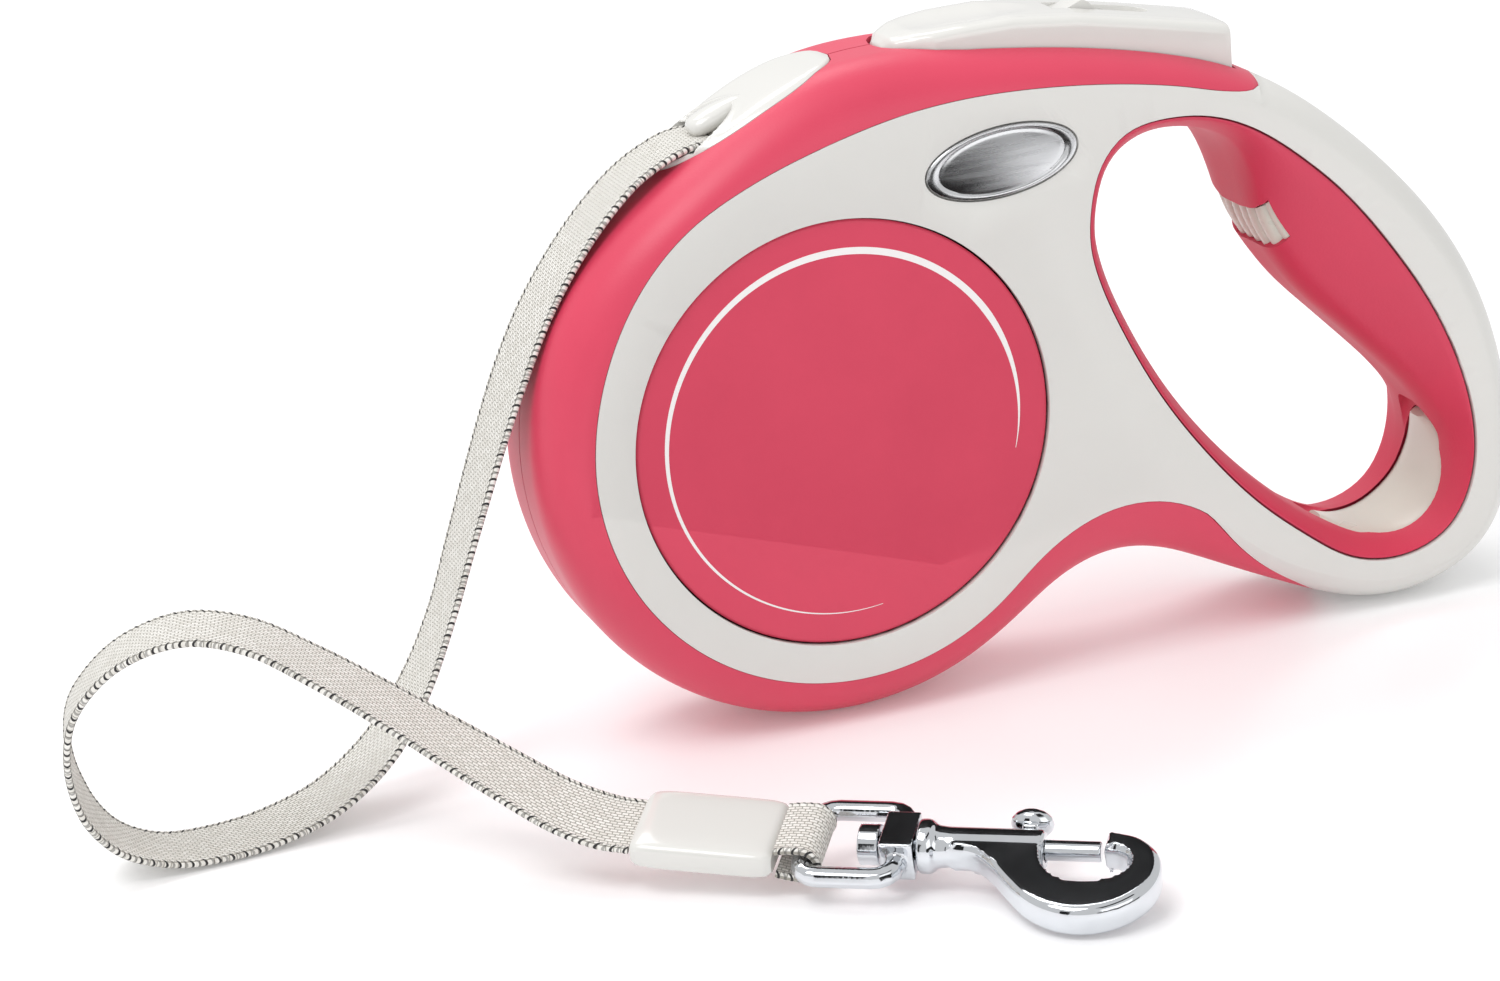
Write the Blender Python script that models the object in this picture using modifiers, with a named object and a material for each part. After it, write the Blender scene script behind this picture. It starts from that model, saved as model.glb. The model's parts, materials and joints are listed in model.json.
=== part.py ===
"""Retractable tape leash: a drum housing with an open hand loop, a sprung tape reel with a
brake button, and a swivel snap hook on the free end of the tape.

+X runs from the drum to the hand loop, Y is the thickness of the housing, and +Z is up.
Shapes are written in millimetres in the drum's frame, whose origin is on the reel axle.
Side -1 is the near half (-Y) and side +1 the far half.
"""

import math

import bmesh
import bpy
import numpy as np
from mathutils import Matrix, Vector

MM = 0.001

# Driving dimensions, in millimetres.
DRUM_RADIUS = 50.5
AXLE_FROM_HANDLE_END = 125.0
HALF_THICKNESS = 16.0
TREAD_HALF_WIDTH = 6.0
RIM_INSET = 7.8
RIM_ARC = math.radians(72)
GAP = 0.3

FRAME_THICKNESS = 1.8
SEAT_DEPTH = HALF_THICKNESS - FRAME_THICKNESS - GAP
DISC_RADIUS = 35.7
DISC_THICKNESS = 1.2
BADGE_HALF_LENGTH = 13.3
BADGE_HALF_HEIGHT = 5.7
BADGE_CENTRE = (30.2, 40.8)
BADGE_TILT = math.radians(5)

CAVITY_RADIUS = 47.5
CAVITY_HALF_WIDTH = 10.0
SPRING_ROOM_RADIUS = 42.0
SPRING_ROOM_HALF_WIDTH = 12.0

TAPE_WIDTH = 13.0
TAPE_THICKNESS = 1.0
WINDING_RADIUS = 43.0
HUB_RADIUS = 25.0
HUB_WALL = 1.8
FLANGE_RADIUS = 46.0
FLANGE_THICKNESS = 1.5
RATCHET_TEETH = 12
AXLE_RADIUS = 4.0
SPRING_TURNS = 6

GRIP_FLANGE = 2.6
REST_THICKNESS = 3.2
SLIDE_FROM = (84.6, 17.2)
SLIDE_TO = (109.0, -12.5)

BUTTON_HALF_WIDTH = 9.3
BUTTON_PIVOT = (72.0, 47.3)
LOCK_SLOPE = math.radians(-11.2)
LOCK_START = (46.5, 60.2)
LOCK_LENGTH = 11.0
LOCK_HALF_WIDTH = 2.3
LOCK_FOOT = 1.7
LOCK_GAP = 0.4
LOCK_ROOM = 6.4
COLLAR_HALF_WIDTH = 9.5
ROLLER_CENTRE = (-15.5, 45.6)
ROLLER_RADIUS = 2.0

SCREWS = ((54.5, -15.5), (36.0, 41.0), (72.5, -32.8))
SCREW_HEAD_RADIUS = 2.1
SCREW_RADIUS = 1.2

# The snap hook lies beside the housing, leaning over, with its axis this high above the floor.
HOOK_EYE = (-30.6, -70.0)
HOOK_HEIGHT = 6.6
HOOK_HEADING = math.radians(-34.5)
HOOK_LEAN = math.radians(12.5)
SLEEVE_PITCH = math.radians(4.0)
EYE_HALF_WIDTH = 8.3
EYE_LENGTH = 14.5
EYE_WIRE = 1.7
SLEEVE_LENGTH = 22.0
SLEEVE_WIDTH = 15.5
SLEEVE_THICKNESS = 5.0
SLEEVE_END = 4.3
END_LOOP_WIDTH = 12.4
BARREL_RADIUS = 3.1
BARREL_END = 36.5
GATE_RADIUS = 1.6
GATE_TIP = 45.0
KNOB_AT = 33.4
HOOK_PLATE = 5.2

DRUM_X = (DRUM_RADIUS - AXLE_FROM_HANDLE_END) / 2
DRUM_Z = DRUM_RADIUS

# The housing's outline at the seam: x, z, and how far in its flat side begins.
HOUSING_KEYS = (
    (-25.3, 43.7, 5.4),
    (-43.7, 25.3, 7.2),
    (-DRUM_RADIUS, 0.0, RIM_INSET),
    (-43.7, -25.3, RIM_INSET),
    (-25.3, -43.7, RIM_INSET),
    (0.0, -DRUM_RADIUS, RIM_INSET),
    (21.3, -45.8, RIM_INSET),
    (31.4, -39.9, 8.2),
    (39.2, -35.1, 9.4),
    (49.0, -32.5, 10.6),
    (57.5, -33.7, 9.8),
    (65.3, -37.0, 7.2),
    (73.1, -40.9, 5.2),
    (80.8, -44.6, 4.6),
    (88.0, -47.8, 4.6),
    (94.4, -49.8, 4.8),
    (101.0, -50.5, 5.0),
    (108.8, -49.3, 5.0),
    (116.5, -45.6, 5.0),
    (122.2, -38.7, 5.0),
    (124.6, -30.0, 5.0),
    (125.0, -21.5, 5.0),
    (123.7, -11.4, 5.0),
    (120.5, 0.3, 5.0),
    (114.0, 13.5, 5.0),
    (106.1, 23.9, 5.0),
    (97.0, 33.2, 5.0),
    (85.3, 42.6, 4.6),
    (73.0, 49.2, 4.2),
    (60.0, 53.4, 4.6),
    (40.0, 57.4, 5.8),
    (20.0, 59.4, 7.6),
    (2.7, 58.1, 9.0),
    (-8.0, 54.2, 8.2),
    (-17.0, 49.0, 6.4),
)

# The hand loop, clockwise from its left: the hole in the side frames (x, z), then the
# narrowest line of the soft grip at the seam (x, z).
LOOP_KEYS = (
    (44.9, 23.7, 49.0, 24.0),
    (45.4, 30.8, 50.0, 31.0),
    (47.6, 37.2, 52.5, 35.8),
    (52.1, 41.7, 56.5, 38.5),
    (59.8, 43.2, 62.5, 39.5),
    (67.5, 42.3, 69.5, 38.0),
    (75.2, 39.1, 75.0, 33.5),
    (80.5, 35.5, 77.4, 27.0),
    (85.4, 31.4, 78.9, 20.6),
    (91.0, 26.0, 82.2, 13.8),
    (95.7, 20.5, 87.0, 7.0),
    (100.5, 14.0, 93.2, 0.4),
    (104.7, 7.7, 99.3, -5.8),
    (108.5, 1.0, 104.3, -11.0),
    (111.6, -6.0, 108.3, -15.8),
    (114.3, -15.0, 111.6, -21.2),
    (115.2, -24.4, 113.1, -27.5),
    (113.6, -32.1, 111.4, -33.8),
    (109.8, -37.8, 107.7, -37.6),
    (103.4, -41.0, 102.8, -39.4),
    (97.0, -41.4, 97.3, -38.9),
    (90.6, -39.7, 91.5, -36.4),
    (82.9, -34.6, 84.6, -31.7),
    (73.9, -26.9, 76.2, -24.2),
    (64.9, -16.7, 67.7, -14.8),
    (56.0, -3.8, 59.2, -2.6),
    (49.5, 9.0, 53.0, 9.8),
    (46.0, 18.2, 50.0, 18.2),
)

# Brake button from the side, and the well that it drops into.
BUTTON_TOP = ((15.4, 60.0), (18.5, 61.2), (27.7, 61.9), (36.7, 62.0), (48.3, 60.7), (61.3, 58.1),
              (72.6, 55.7), (75.2, 54.2))
BUTTON_UNDERSIDE = ((75.4, 46.2), (71.0, 45.6), (67.0, 47.6), (45.0, 50.6), (20.0, 53.6),
                    (16.4, 56.0))
WELL = ((14.9, 60.8), (13.4, 52.0), (16.0, 49.2), (45.0, 48.2), (64.0, 46.9), (69.5, 45.0),
        (76.2, 45.4), (76.2, 56.0), (45.0, 66.0), (16.0, 66.0))
COLLAR = ((7.0, 58.9), (2.7, 58.7), (-6.0, 55.7), (-14.0, 51.6), (-20.0, 47.9), (-22.4, 45.9),
          (-21.8, 45.0), (-14.0, 49.0), (-6.0, 52.2), (2.7, 54.9), (7.4, 56.2))

# The tape's middle line inside the housing: from the winding to the exit.
INNER_RUN = ((11.9, 42.9), (5.0, 44.6), (-3.0, 46.7), (-9.0, 48.1), (-14.2, 49.0))
# The free tape's middle line: x and y from the drum's axis, z above the floor.
FREE_ROUTE = (
    (-14.6, 0.0, 99.6), (-18.4, 0.0, 99.5), (-22.6, 0.0, 98.2), (-28.5, 0.0, 95.0),
    (-34.6, 0.0, 89.6), (-40.2, 0.0, 83.2), (-45.6, 0.0, 75.5), (-50.4, 0.0, 66.5),
    (-54.7, 0.0, 57.0), (-58.6, 0.0, 47.5), (-62.4, 0.0, 38.0), (-66.6, -0.6, 28.0),
    (-72.4, -2.2, 18.0), (-80.2, -5.2, 9.6), (-90.0, -8.0, 4.0), (-100.2, -9.8, 1.6),
    (-109.6, -10.8, 1.2), (-118.0, -11.2, 2.2), (-125.2, -11.6, 6.2), (-129.8, -12.6, 13.6),
    (-131.4, -14.2, 22.8), (-129.4, -16.6, 31.8), (-122.4, -19.4, 39.2), (-112.6, -22.4, 42.4),
    (-103.0, -25.2, 40.2), (-94.0, -28.2, 34.4), (-85.0, -31.6, 27.6), (-76.0, -36.0, 20.6),
    (-68.8, -41.6, 15.4), (-62.7, -47.2, 11.4), (-57.2, -52.1, 9.2), (-52.7, -55.3, 8.45),
)
# Where along the route the tape's width points which way.
TAPE_TWIST = (
    (0, (0.0, 1.0, 0.0)),
    (3, (0.0, 1.0, 0.0)),
    (7, (-0.1, 1.0, 0.0)),
    (11, (0.02, 1.0, 0.0)),
    (13, (0.0, 1.0, 0.1)),
    (17, (0.05, 1.0, 0.02)),
    (19, (0.2, 0.97, 0.05)),
    (21, (0.16, 0.97, -0.06)),
    (23, (0.2, 0.97, 0.03)),
    (27, (0.4, 0.88, 0.2)),
    (30, (0.55, 0.8, 0.22)),
    (31, (0.553, 0.804, 0.216)),
)

# Half of the snap hook's flat part, seen from the front: distance along its axis, distance up.
HOOK_OUTSIDE = ((26.0, -2.6), (29.0, -5.6), (32.4, -10.6), (36.0, -14.6), (40.5, -17.1),
                (45.2, -17.5), (50.0, -15.6), (53.6, -11.6), (54.9, -6.8), (54.0, -2.2),
                (51.0, 1.1), (47.6, 2.2), (GATE_TIP + 0.5, 2.1))
HOOK_INSIDE = ((GATE_TIP + 0.5, -1.6), (48.0, -1.8), (49.8, -3.6), (49.7, -6.2), (47.6, -8.6),
               (43.6, -9.8), (40.0, -8.8), (37.4, -6.0), (BARREL_END, -2.4))


# Collections, materials and meshes

for old in list(bpy.data.objects):
    bpy.data.objects.remove(old)

PARTS = bpy.data.collections.new("retractable_leash")
CUTTERS = bpy.data.collections.new("cutters")
bpy.context.scene.collection.children.link(PARTS)
bpy.context.scene.collection.children.link(CUTTERS)


def finish(name, colour, roughness, metallic=0.0):
    """A Principled material; the colour is linear red, green and blue."""
    material = bpy.data.materials.new(name)
    material.use_nodes = True
    shader = material.node_tree.nodes["Principled BSDF"]
    shader.inputs["Base Color"].default_value = (*colour, 1.0)
    shader.inputs["Roughness"].default_value = roughness
    shader.inputs["Metallic"].default_value = metallic
    return material


RED_ABS = finish("red_moulded_abs", (0.73, 0.055, 0.125), 0.45)
RED_SOFT = finish("red_soft_grip", (0.70, 0.05, 0.12), 0.7)
PALE_ABS = finish("pale_grey_abs", (0.70, 0.70, 0.67), 0.4)
PALE_GLOSS = finish("pale_gloss_abs", (0.76, 0.76, 0.73), 0.2)
BADGE_METAL = finish("brushed_badge", (0.62, 0.64, 0.66), 0.3, 1.0)
CHROME = finish("chrome_plate", (0.75, 0.76, 0.78), 0.1, 1.0)
STEEL = finish("bright_steel", (0.5, 0.5, 0.52), 0.3, 1.0)
BLACK_ACETAL = finish("black_acetal", (0.02, 0.02, 0.022), 0.4)
WEBBING = finish("woven_tape", (0.72, 0.71, 0.66), 0.85)


def at(x, y, z):
    """A point in the drum's frame, in millimetres, as world metres."""
    return Vector(((DRUM_X + x) * MM, y * MM, (DRUM_Z + z) * MM))


def put(name, mesh, material, hidden=False):
    """A mesh object in the parts collection, or a hidden cutter."""
    mesh.name = name
    mesh.materials.clear()
    if material:
        mesh.materials.append(material)
    made = bpy.data.objects.new(name, mesh)
    (CUTTERS if hidden else PARTS).objects.link(made)
    if hidden:
        made.hide_render = True
        made.display_type = "WIRE"
    return made


def clean(mesh, matrix=None):
    """Welds a mesh, turns its faces outwards and shades its round parts smooth."""
    work = bmesh.new()
    work.from_mesh(mesh)
    if matrix:
        work.transform(matrix)
    bmesh.ops.remove_doubles(work, verts=work.verts, dist=1e-6)
    bmesh.ops.recalc_face_normals(work, faces=work.faces)
    work.to_mesh(mesh)
    work.free()
    mesh.shade_smooth()
    mesh.set_sharp_from_angle(angle=math.radians(35))
    return mesh


def settled(raw, name, material, hidden):
    """Replaces a curve or an object with modifiers by its finished mesh, in world space."""
    bpy.context.view_layer.update()
    graph = bpy.context.evaluated_depsgraph_get()
    mesh = bpy.data.meshes.new_from_object(raw.evaluated_get(graph))
    matrix = raw.matrix_world.copy()
    bpy.data.objects.remove(raw)
    return put(name, clean(mesh, matrix), material, hidden)


def loft(name, rings, material=None, closed=False, hidden=False):
    """A solid through rings of equal point counts, capped at its ends or closed on itself."""
    work = bmesh.new()
    grid = [[work.verts.new(point) for point in ring] for ring in rings]
    count = len(grid[0])
    pairs = list(zip(grid, grid[1:]))
    if closed:
        pairs.append((grid[-1], grid[0]))
    for low, high in pairs:
        for i in range(count):
            j = (i + 1) % count
            work.faces.new((low[i], low[j], high[j], high[i]))
    if not closed:
        work.faces.new(grid[0])
        work.faces.new(grid[-1])
    mesh = bpy.data.meshes.new(name)
    work.to_mesh(mesh)
    work.free()
    return put(name, clean(mesh), material, hidden)


def plate(name, outlines, near, far, material=None, hidden=False):
    """A flat outline in the drum's side view, with any further outlines as holes."""
    curve = bpy.data.curves.new(name, "CURVE")
    curve.dimensions = "2D"
    curve.fill_mode = "BOTH"
    curve.extrude = (far - near) / 2 * MM
    for outline in outlines:
        spline = curve.splines.new("POLY")
        spline.points.add(len(outline) - 1)
        for point, (x, z) in zip(spline.points, outline):
            point.co = (x * MM, z * MM, 0.0, 1.0)
        spline.use_cyclic_u = True
    raw = bpy.data.objects.new(name, curve)
    raw.location = at(0.0, (near + far) / 2, 0.0)
    raw.rotation_euler = (math.pi / 2, 0.0, 0.0)
    CUTTERS.objects.link(raw)
    return settled(raw, name, material, hidden)


def turned(name, profile, centre=(0.0, 0.0), material=None, steps=32, ring=False, hidden=False,
           frame=None):
    """A profile of (radius, depth) turned about Y at centre, or about a frame's own axis."""
    work = bmesh.new()
    verts = [work.verts.new((radius * MM, 0.0, -depth * MM)) for radius, depth in profile]
    for low, high in zip(verts, verts[1:]):
        work.edges.new((low, high))
    if ring:
        work.edges.new((verts[-1], verts[0]))
    mesh = bpy.data.meshes.new(name)
    work.to_mesh(mesh)
    work.free()
    raw = bpy.data.objects.new(name, mesh)
    CUTTERS.objects.link(raw)
    turn = raw.modifiers.new("turn", "SCREW")
    turn.axis = "Z"
    turn.steps = steps
    turn.render_steps = steps
    turn.use_merge_vertices = True
    turn.merge_threshold = 1e-5
    if frame is None:
        raw.location = at(centre[0], 0.0, centre[1])
        raw.rotation_euler = (math.pi / 2, 0.0, 0.0)
    else:
        raw.matrix_world = frame
    return settled(raw, name, material, hidden)


def tube(name, points, radius, material=None, cyclic=False, resolution=2, hidden=False):
    """A round bar along points that are already in world metres."""
    curve = bpy.data.curves.new(name, "CURVE")
    curve.dimensions = "3D"
    curve.bevel_depth = radius * MM
    curve.bevel_resolution = resolution
    curve.use_fill_caps = not cyclic
    spline = curve.splines.new("POLY")
    spline.points.add(len(points) - 1)
    for point, place in zip(spline.points, points):
        point.co = (*place, 1.0)
    spline.use_cyclic_u = cyclic
    raw = bpy.data.objects.new(name, curve)
    CUTTERS.objects.link(raw)
    return settled(raw, name, material, hidden)


def box(name, low, high, material=None, hidden=False, frame=None):
    """A block between two corners, in the drum's frame or in another frame's millimetres."""
    work = bmesh.new()
    bmesh.ops.create_cube(work, size=1.0)
    middle = [(a + b) / 2 for a, b in zip(low, high)]
    size = [(b - a) * MM for a, b in zip(low, high)]
    centre = at(*middle) if frame is None else frame @ (Vector(middle) * MM)
    turn = Matrix() if frame is None else frame.to_3x3().to_4x4()
    work.transform(Matrix.Translation(centre) @ turn @ Matrix.Diagonal((*size, 1.0)))
    mesh = bpy.data.meshes.new(name)
    work.to_mesh(mesh)
    work.free()
    return put(name, clean(mesh), material, hidden)


def combine(target, other, operation):
    modifier = target.modifiers.new(other.name, "BOOLEAN")
    modifier.object = other
    modifier.operation = operation
    modifier.solver = "EXACT"


def cut(target, *cutters):
    for cutter in cutters:
        combine(target, cutter, "DIFFERENCE")


def rounded(target, width, segments=2):
    """Rounds every sharp edge."""
    modifier = target.modifiers.new("rounding", "BEVEL")
    modifier.width = width * MM
    modifier.segments = segments
    modifier.limit_method = "ANGLE"
    modifier.angle_limit = math.radians(35)
    modifier.use_clamp_overlap = True


# Outlines

def smooth_loop(keys, spacing):
    """A closed cubic spline through the keys, and the key number at each point."""
    points = np.array(keys, float)
    count = len(points)
    after = np.linalg.norm(np.roll(points, -1, 0)[:, :2] - points[:, :2], axis=1)
    before = np.roll(after, 1)
    slope = (np.roll(points, -1, 0) - points) / after[:, None]
    system = np.zeros((count, count))
    for i in range(count):
        system[i, i - 1] = after[i]
        system[i, i] = 2 * (before[i] + after[i])
        system[i, (i + 1) % count] = before[i]
    known = 3 * (after[:, None] * np.roll(slope, 1, 0) + before[:, None] * slope)
    tangent = np.linalg.solve(system, known)
    made = []
    numbers = []
    for i in range(count):
        j = (i + 1) % count
        steps = max(1, round(after[i] / spacing))
        for step in range(steps):
            t = step / steps
            made.append((2 * t**3 - 3 * t**2 + 1) * points[i]
                        + (t**3 - 2 * t**2 + t) * after[i] * tangent[i]
                        + (3 * t**2 - 2 * t**3) * points[j]
                        + (t**3 - t**2) * after[i] * tangent[j])
            numbers.append(i + t)
    return np.array(made), np.array(numbers)


def smooth_line(keys, steps):
    """A curve through the keys, with so many steps between two keys."""
    points = np.array(keys, float)
    padded = np.vstack([2 * points[0] - points[1], points, 2 * points[-1] - points[-2]])
    made = []
    for i in range(1, len(padded) - 2):
        a, b, c, d = padded[i - 1:i + 3]
        for step in range(steps):
            t = step / steps
            made.append(0.5 * (2 * b + (c - a) * t + (2 * a - 5 * b + 4 * c - d) * t**2
                               + (3 * b - a - 3 * c + d) * t**3))
    made.append(points[-1])
    return np.array(made)


def normals(loop):
    """Unit normals pointing out of a closed loop."""
    tangent = np.roll(loop, -1, 0) - np.roll(loop, 1, 0)
    tangent /= np.linalg.norm(tangent, axis=1)[:, None]
    ahead = np.roll(loop, -1, 0)
    area = (loop[:, 0] * ahead[:, 1] - ahead[:, 0] * loop[:, 1]).sum()
    out = np.stack([tangent[:, 1], -tangent[:, 0]], 1)
    return out if area > 0 else -out


def grown(loop, distance):
    return loop + normals(loop) * distance


HOUSING, _ = smooth_loop(HOUSING_KEYS, 5.0)
LOOP, LOOP_NUMBERS = smooth_loop(LOOP_KEYS, 5.0)
LOOP_HOLE = LOOP[:, :2]
GRIP_LINE = LOOP[:, 2:]


def housing_outline(inset_share, extra=0.0):
    """The housing's side view, pulled in by a share of its inset and by extra millimetres."""
    line = HOUSING[:, :2]
    return line - normals(line) * (HOUSING[:, 2:] * inset_share + extra)


def rim_share(depth):
    """How much of the inset the rounded rim has used at this depth from the seam."""
    if depth <= TREAD_HALF_WIDTH:
        return 0.0
    across = (depth - TREAD_HALF_WIDTH) / (HALF_THICKNESS - TREAD_HALF_WIDTH)
    turn = math.asin(across * math.sin(RIM_ARC))
    return (1 - math.cos(turn)) / (1 - math.cos(RIM_ARC))


def circle(radius, centre=(0.0, 0.0), steps=48):
    angles = np.linspace(0, 2 * math.pi, steps, endpoint=False)
    return np.stack([centre[0] + radius * np.cos(angles), centre[1] + radius * np.sin(angles)], 1)


def grip_span(first, last, inner, outer, steps=10):
    """A band along the grip line between two key numbers, between two offsets outwards."""
    numbers = np.linspace(first, last, steps)
    out = normals(GRIP_LINE)
    line = np.stack([np.interp(numbers, LOOP_NUMBERS, GRIP_LINE[:, k]) for k in (0, 1)], 1)
    away = np.stack([np.interp(numbers, LOOP_NUMBERS, out[:, k]) for k in (0, 1)], 1)
    return np.vstack([line + away * inner, (line + away * outer)[::-1]])


# Cutters that shape both half shells

def housing_cutters():
    room = turned("cut_reel_room", [
        (0.0, -SPRING_ROOM_HALF_WIDTH), (SPRING_ROOM_RADIUS, -SPRING_ROOM_HALF_WIDTH),
        (SPRING_ROOM_RADIUS, -CAVITY_HALF_WIDTH), (CAVITY_RADIUS, -CAVITY_HALF_WIDTH),
        (CAVITY_RADIUS, CAVITY_HALF_WIDTH), (SPRING_ROOM_RADIUS, CAVITY_HALF_WIDTH),
        (SPRING_ROOM_RADIUS, SPRING_ROOM_HALF_WIDTH), (0.0, SPRING_ROOM_HALF_WIDTH)],
        steps=48, hidden=True)
    loop = plate("cut_hand_loop", [grown(LOOP_HOLE, GRIP_FLANGE + GAP)], -20.0, 20.0, hidden=True)
    well = plate("cut_button_well", [WELL], -BUTTON_HALF_WIDTH - 0.5, BUTTON_HALF_WIDTH + 0.5,
                 hidden=True)
    collar = plate("cut_collar_pocket", [grown(np.array(COLLAR), 0.35)],
                   -COLLAR_HALF_WIDTH - 0.35, COLLAR_HALF_WIDTH + 0.35, hidden=True)
    pawl = box("cut_pawl_slot", (17.2, -9.7, 40.0), (26.0, -6.4, 52.0), hidden=True)
    spring = box("cut_spring_seat", (28.6, -3.4, 43.6), (35.4, 3.4, 50.0), hidden=True)
    pins = [pin_hole("cut_button_pin", BUTTON_PIVOT, 1.5, 11.4),
            pin_hole("cut_roller_pin", ROLLER_CENTRE, 1.0, 10.8),
            pin_hole("cut_roller_room", ROLLER_CENTRE, ROLLER_RADIUS + 0.5, 8.2),
            pin_hole("cut_axle_hole", (0.0, 0.0), AXLE_RADIUS + GAP, 20.0)]
    hole = SCREW_RADIUS + GAP
    sink = SCREW_HEAD_RADIUS + 0.4
    screws = [turned(f"cut_screw_{number}", [
        (0.0, -8.0), (hole, -8.0), (hole, 6.4), (sink, 6.4), (sink, 15.0), (0.0, 15.0)],
        centre=centre, steps=12, hidden=True) for number, centre in enumerate(SCREWS, 1)]
    return [room, loop, well, collar, tape_slot("cut_tape_slot"), pawl, spring, *pins, *screws]


def pin_hole(name, centre, radius, reach):
    return turned(name, [(0.0, -reach), (radius, -reach), (radius, reach), (0.0, reach)],
                  centre=centre, steps=16, hidden=True)


def tape_slot(name):
    """The slot that the tape runs through, with room on both faces and edges."""
    line = smooth_line(INNER_RUN[1:] + ((-18.4, 49.2), (-26.0, 49.0)), 2)
    step = np.gradient(line, axis=0)
    step /= np.linalg.norm(step, axis=1)[:, None]
    side = np.stack([-step[:, 1], step[:, 0]], 1) * (TAPE_THICKNESS / 2 + 0.5)
    reach = TAPE_WIDTH / 2 + 0.5
    return plate(name, [np.vstack([line + side, (line - side)[::-1]])], -reach, reach, hidden=True)


def housing_shell(name, side, cutters):
    """Half of the housing: a rounded rim, and a sunk seat that the side frame lies in."""
    depths = (GAP / 2, TREAD_HALF_WIDTH, 9.5, 12.5, 14.6, HALF_THICKNESS - 0.1)
    rings = []
    for depth in depths:
        rings.append([at(x, side * depth, z) for x, z in housing_outline(rim_share(depth))])
    shell = loft(name, rings, RED_ABS)
    near, far = sorted((side * SEAT_DEPTH, side * 20.0))
    seat = plate(f"cut_seat_{name}", [housing_outline(1.0, 0.6)], near, far, hidden=True)
    cut(shell, seat, *cutters)
    return shell


def side_frame(name, side, badge_recess):
    """The pale frame let into one side: round the disc, over the neck and round the loop."""
    near, far = sorted((side * (SEAT_DEPTH + GAP), side * HALF_THICKNESS))
    outlines = [housing_outline(1.0, 0.9), circle(DISC_RADIUS + GAP), LOOP_HOLE]
    frame = plate(name, outlines, near, far, PALE_ABS)
    cut(frame, badge_recess)
    return frame


def ellipse(grow):
    turn = np.array([[math.cos(BADGE_TILT), math.sin(BADGE_TILT)],
                     [-math.sin(BADGE_TILT), math.cos(BADGE_TILT)]])
    round_line = circle(1.0, steps=32) * (BADGE_HALF_LENGTH + grow, BADGE_HALF_HEIGHT + grow)
    return round_line @ turn + BADGE_CENTRE


def badge(name, side):
    near, far = sorted((side * (HALF_THICKNESS - 0.8), side * (HALF_THICKNESS + 0.3)))
    return plate(name, [ellipse(0.0)], near, far, BADGE_METAL)


def badge_cutter(side):
    near, far = sorted((side * (HALF_THICKNESS - 1.1), side * 20.0))
    return plate(f"cut_badge_{side}", [ellipse(GAP)], near, far, hidden=True)


def side_disc(name, side):
    low = SEAT_DEPTH + GAP
    high = low + DISC_THICKNESS
    depths = (low, high) if side > 0 else (-high, -low)
    profile = [(0.0, depths[0]), (DISC_RADIUS, depths[0]), (DISC_RADIUS, depths[1]),
               (0.0, depths[1])]
    return turned(name, profile, material=RED_ABS, steps=64)


# The grip and the hand-size slide

def grip_lining():
    """The soft ring that lines the hand loop, swelling towards the palm."""
    out = normals(LOOP_HOLE)
    flange = LOOP_HOLE + out * GRIP_FLANGE
    lip = LOOP_HOLE - out * 0.4
    section = ((flange, SEAT_DEPTH - 0.1), (lip, SEAT_DEPTH - 0.1), (lip, HALF_THICKNESS - 0.4),
               (lip + (GRIP_LINE - lip) * 0.45, 13.2), (lip + (GRIP_LINE - lip) * 0.85, 9.6),
               (GRIP_LINE, 5.0))
    rows = [(line, -depth) for line, depth in section]
    rows += [(line, depth) for line, depth in reversed(section)]
    rings = []
    for i in range(len(LOOP_HOLE)):
        rings.append([at(line[i, 0], depth, line[i, 1]) for line, depth in rows])
    ring = loft("grip_lining", rings, RED_SOFT, closed=True)
    rest_room = grip_span(14.1, 21.6, -4.0, REST_THICKNESS + 0.5, 16)
    cut(ring, plate("cut_hand_rest", [rest_room], -10.4, 10.4, hidden=True))
    slider_room = grip_span(6.9, 9.1, -4.0, 3.2, 8)
    cut(ring, plate("cut_slider", [slider_room], -9.9, 9.9, hidden=True))
    cut(ring, slide_bar_block("cut_slide_bar", 0.4, 6.0, hidden=True))
    return ring


def slide_direction():
    """The way the hand rest moves for a smaller hand: up along the grip."""
    step = np.array(SLIDE_FROM) - np.array(SLIDE_TO)
    return step / np.linalg.norm(step)


def slide_bar_block(name, grow, reach, material=None, hidden=False):
    along = slide_direction()
    side = np.array([-along[1], along[0]]) * (1.2 + grow)
    start = np.array(SLIDE_FROM) + along * reach
    end = np.array(SLIDE_TO) - along * min(reach, 2.0)
    outline = np.array([start + side, end + side, end - side, start - side])
    return plate(name, [outline], -4.0 - grow, 4.0 + grow, material, hidden)


def hand_rest():
    rest = plate("hand_rest", [grip_span(15.1, 21.0, 0.0, REST_THICKNESS, 16)], -10.0, 10.0,
                 PALE_GLOSS)
    rounded(rest, 0.5)
    return rest


def ribbed_slider():
    """The finger piece on the palm side, with ribs across it."""
    first = 7.9
    last = 8.9
    ribs = 5
    numbers = np.linspace(first, last, 2 * ribs + 1)
    out = normals(GRIP_LINE)
    line = np.stack([np.interp(numbers, LOOP_NUMBERS, GRIP_LINE[:, k]) for k in (0, 1)], 1)
    away = np.stack([np.interp(numbers, LOOP_NUMBERS, out[:, k]) for k in (0, 1)], 1)
    height = np.where(np.arange(len(numbers)) % 2, -0.9, 0.1)[:, None]
    outline = np.vstack([line + away * height, (line + away * 2.6)[::-1]])
    return plate("ribbed_slider", [outline], -9.5, 9.5, PALE_ABS)


# The brake

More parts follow.
